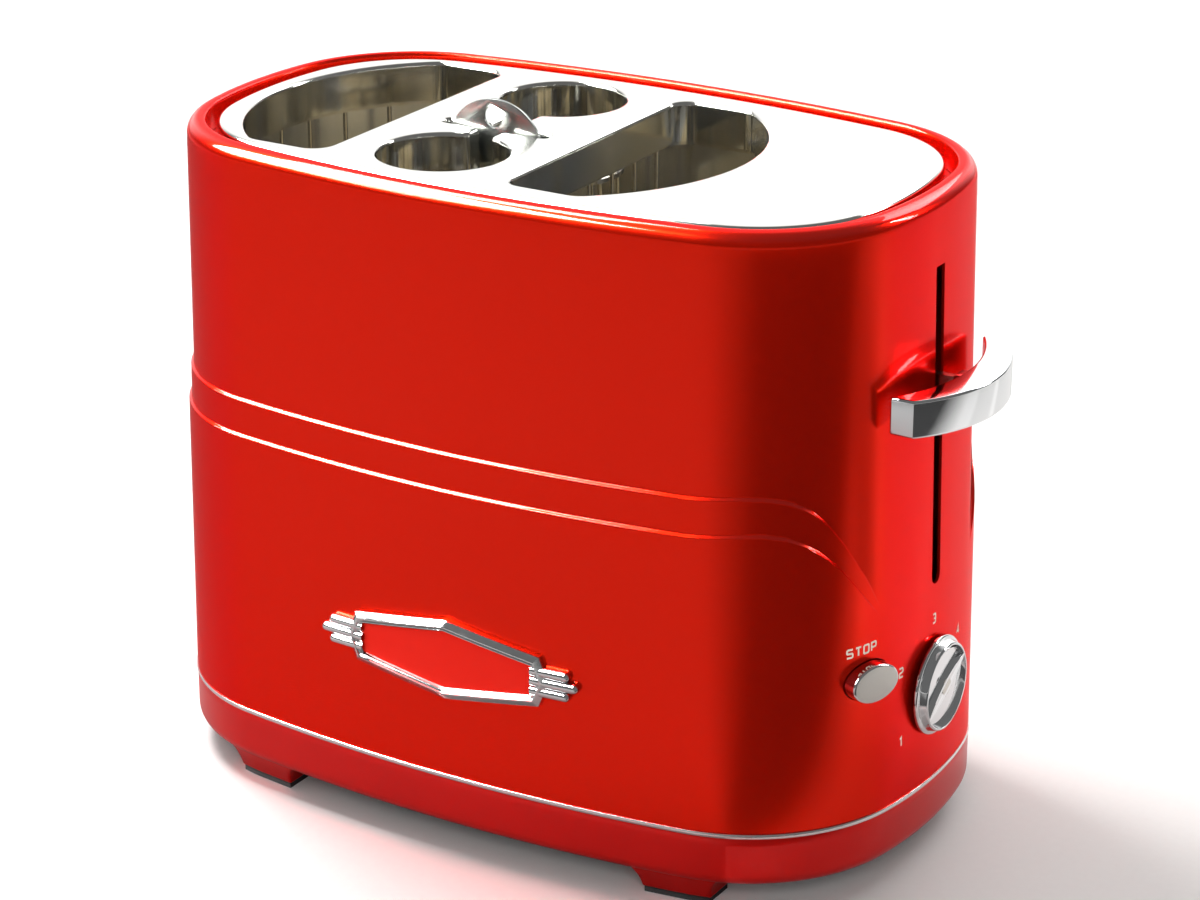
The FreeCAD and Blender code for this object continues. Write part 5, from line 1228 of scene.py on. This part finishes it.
def makeFloor():
    half = studio["floorHalf"]
    mesh = bpy.data.meshes.new("floor")
    mesh.from_pydata([(x, y, 0) for x, y in rectangle(-half, half, -half, half)], [], [(0, 1, 2, 3)])
    # matt white paper: pale, with the faintest fibre
    mesh.materials.append(makeMaterial("paleFloorPaper", {"Roughness": 0.7, "IOR": 1.45},
                                       patterned("fibre", 3, 3, (studio["floor"], "#F5F4F2"))))
    addObject("floor", mesh)


def makeSky():
    world = bpy.data.worlds.new("studio")
    world.use_nodes = True
    tree = world.node_tree
    tree.nodes.clear()
    way = addNode(tree, "ShaderNodeTexCoord").outputs["Generated"]
    toSky = {"operation": "DOT_PRODUCT", 1: Vector(studio["skyWay"]).normalized()}
    facing = addNode(tree, "ShaderNodeVectorMath", toSky, {0: way})
    low, high = studio["skyEdge"]
    fade = {"interpolation_type": "SMOOTHSTEP", "From Min": low, "From Max": high, "To Min": studio["room"],
            "To Max": studio["sky"]}
    level = addNode(tree, "ShaderNodeMapRange", fade, {"Value": facing.outputs["Value"]})
    # the backdrop itself is plain and pale
    seen = addNode(tree, "ShaderNodeLightPath").outputs["Is Camera Ray"]
    level = addNode(tree, "ShaderNodeMath", {"operation": "MAXIMUM"}, {0: level.outputs["Result"], 1: seen})
    sky = addNode(tree, "ShaderNodeBackground", {}, {"Strength": level.outputs[0]})
    addNode(tree, "ShaderNodeOutputWorld", {}, {"Surface": sky.outputs["Background"]})
    bpy.context.scene.world = world


def makeLamps():
    for name, place, target, width, height, power, lights in studio["lamps"]:
        data = bpy.data.lights.new(name, "AREA")
        data.shape, data.size, data.size_y, data.energy = "RECTANGLE", width, height, power
        lamp = addObject(name, data)
        lamp.location = place
        lamp.rotation_euler = (Vector(place) - Vector(target)).to_track_quat("Z", "Y").to_euler()
        lamp.visible_camera = False
        lamp.visible_diffuse = lights != "shine"
        lamp.visible_glossy = lights != "matte"


def makeShadeCard():
    x, y = studio["cardHub"]
    reach = studio["cardReach"]
    ring = [(x + a, y + b, studio["cardHeight"]) for a, b in ellipse(reach, reach, 72)]
    mesh = bpy.data.meshes.new("shadeCard")
    mesh.from_pydata(ring, [], [tuple(range(len(ring)))])
    # grey card: its shade changes with the way from the hub
    material = makeMaterial("greyShadeCard", {"Roughness": 0.9}, [
        ("fromHub", "minus", ((x, y, 0),), "place"), ("way", "swing", (), "fromHub"),
        ("shade", "ramp", (), "way"), ("tone", "blend", (studio["floor"], "#0C0C0C"), "shade")])
    ramp = next(node for node in material.node_tree.nodes if node.label == "shades").color_ramp
    # a ramp starts with two stops
    for i, (degrees, grey) in enumerate(studio["cardShades"]):
        stop = ramp.elements[i] if i < 2 else ramp.elements.new(1)
        stop.position = degrees / 360 + 0.5
        stop.color = (grey, grey, grey, 1)
    mesh.materials.append(material)
    card = addObject("shadeCard", mesh)
    card.visible_camera = card.visible_diffuse = card.visible_shadow = False


makeFloor()
makeShadeCard()
makeSky()
makeLamps()
bpy.context.scene.view_settings.view_transform = "Standard"
print("studio lit")
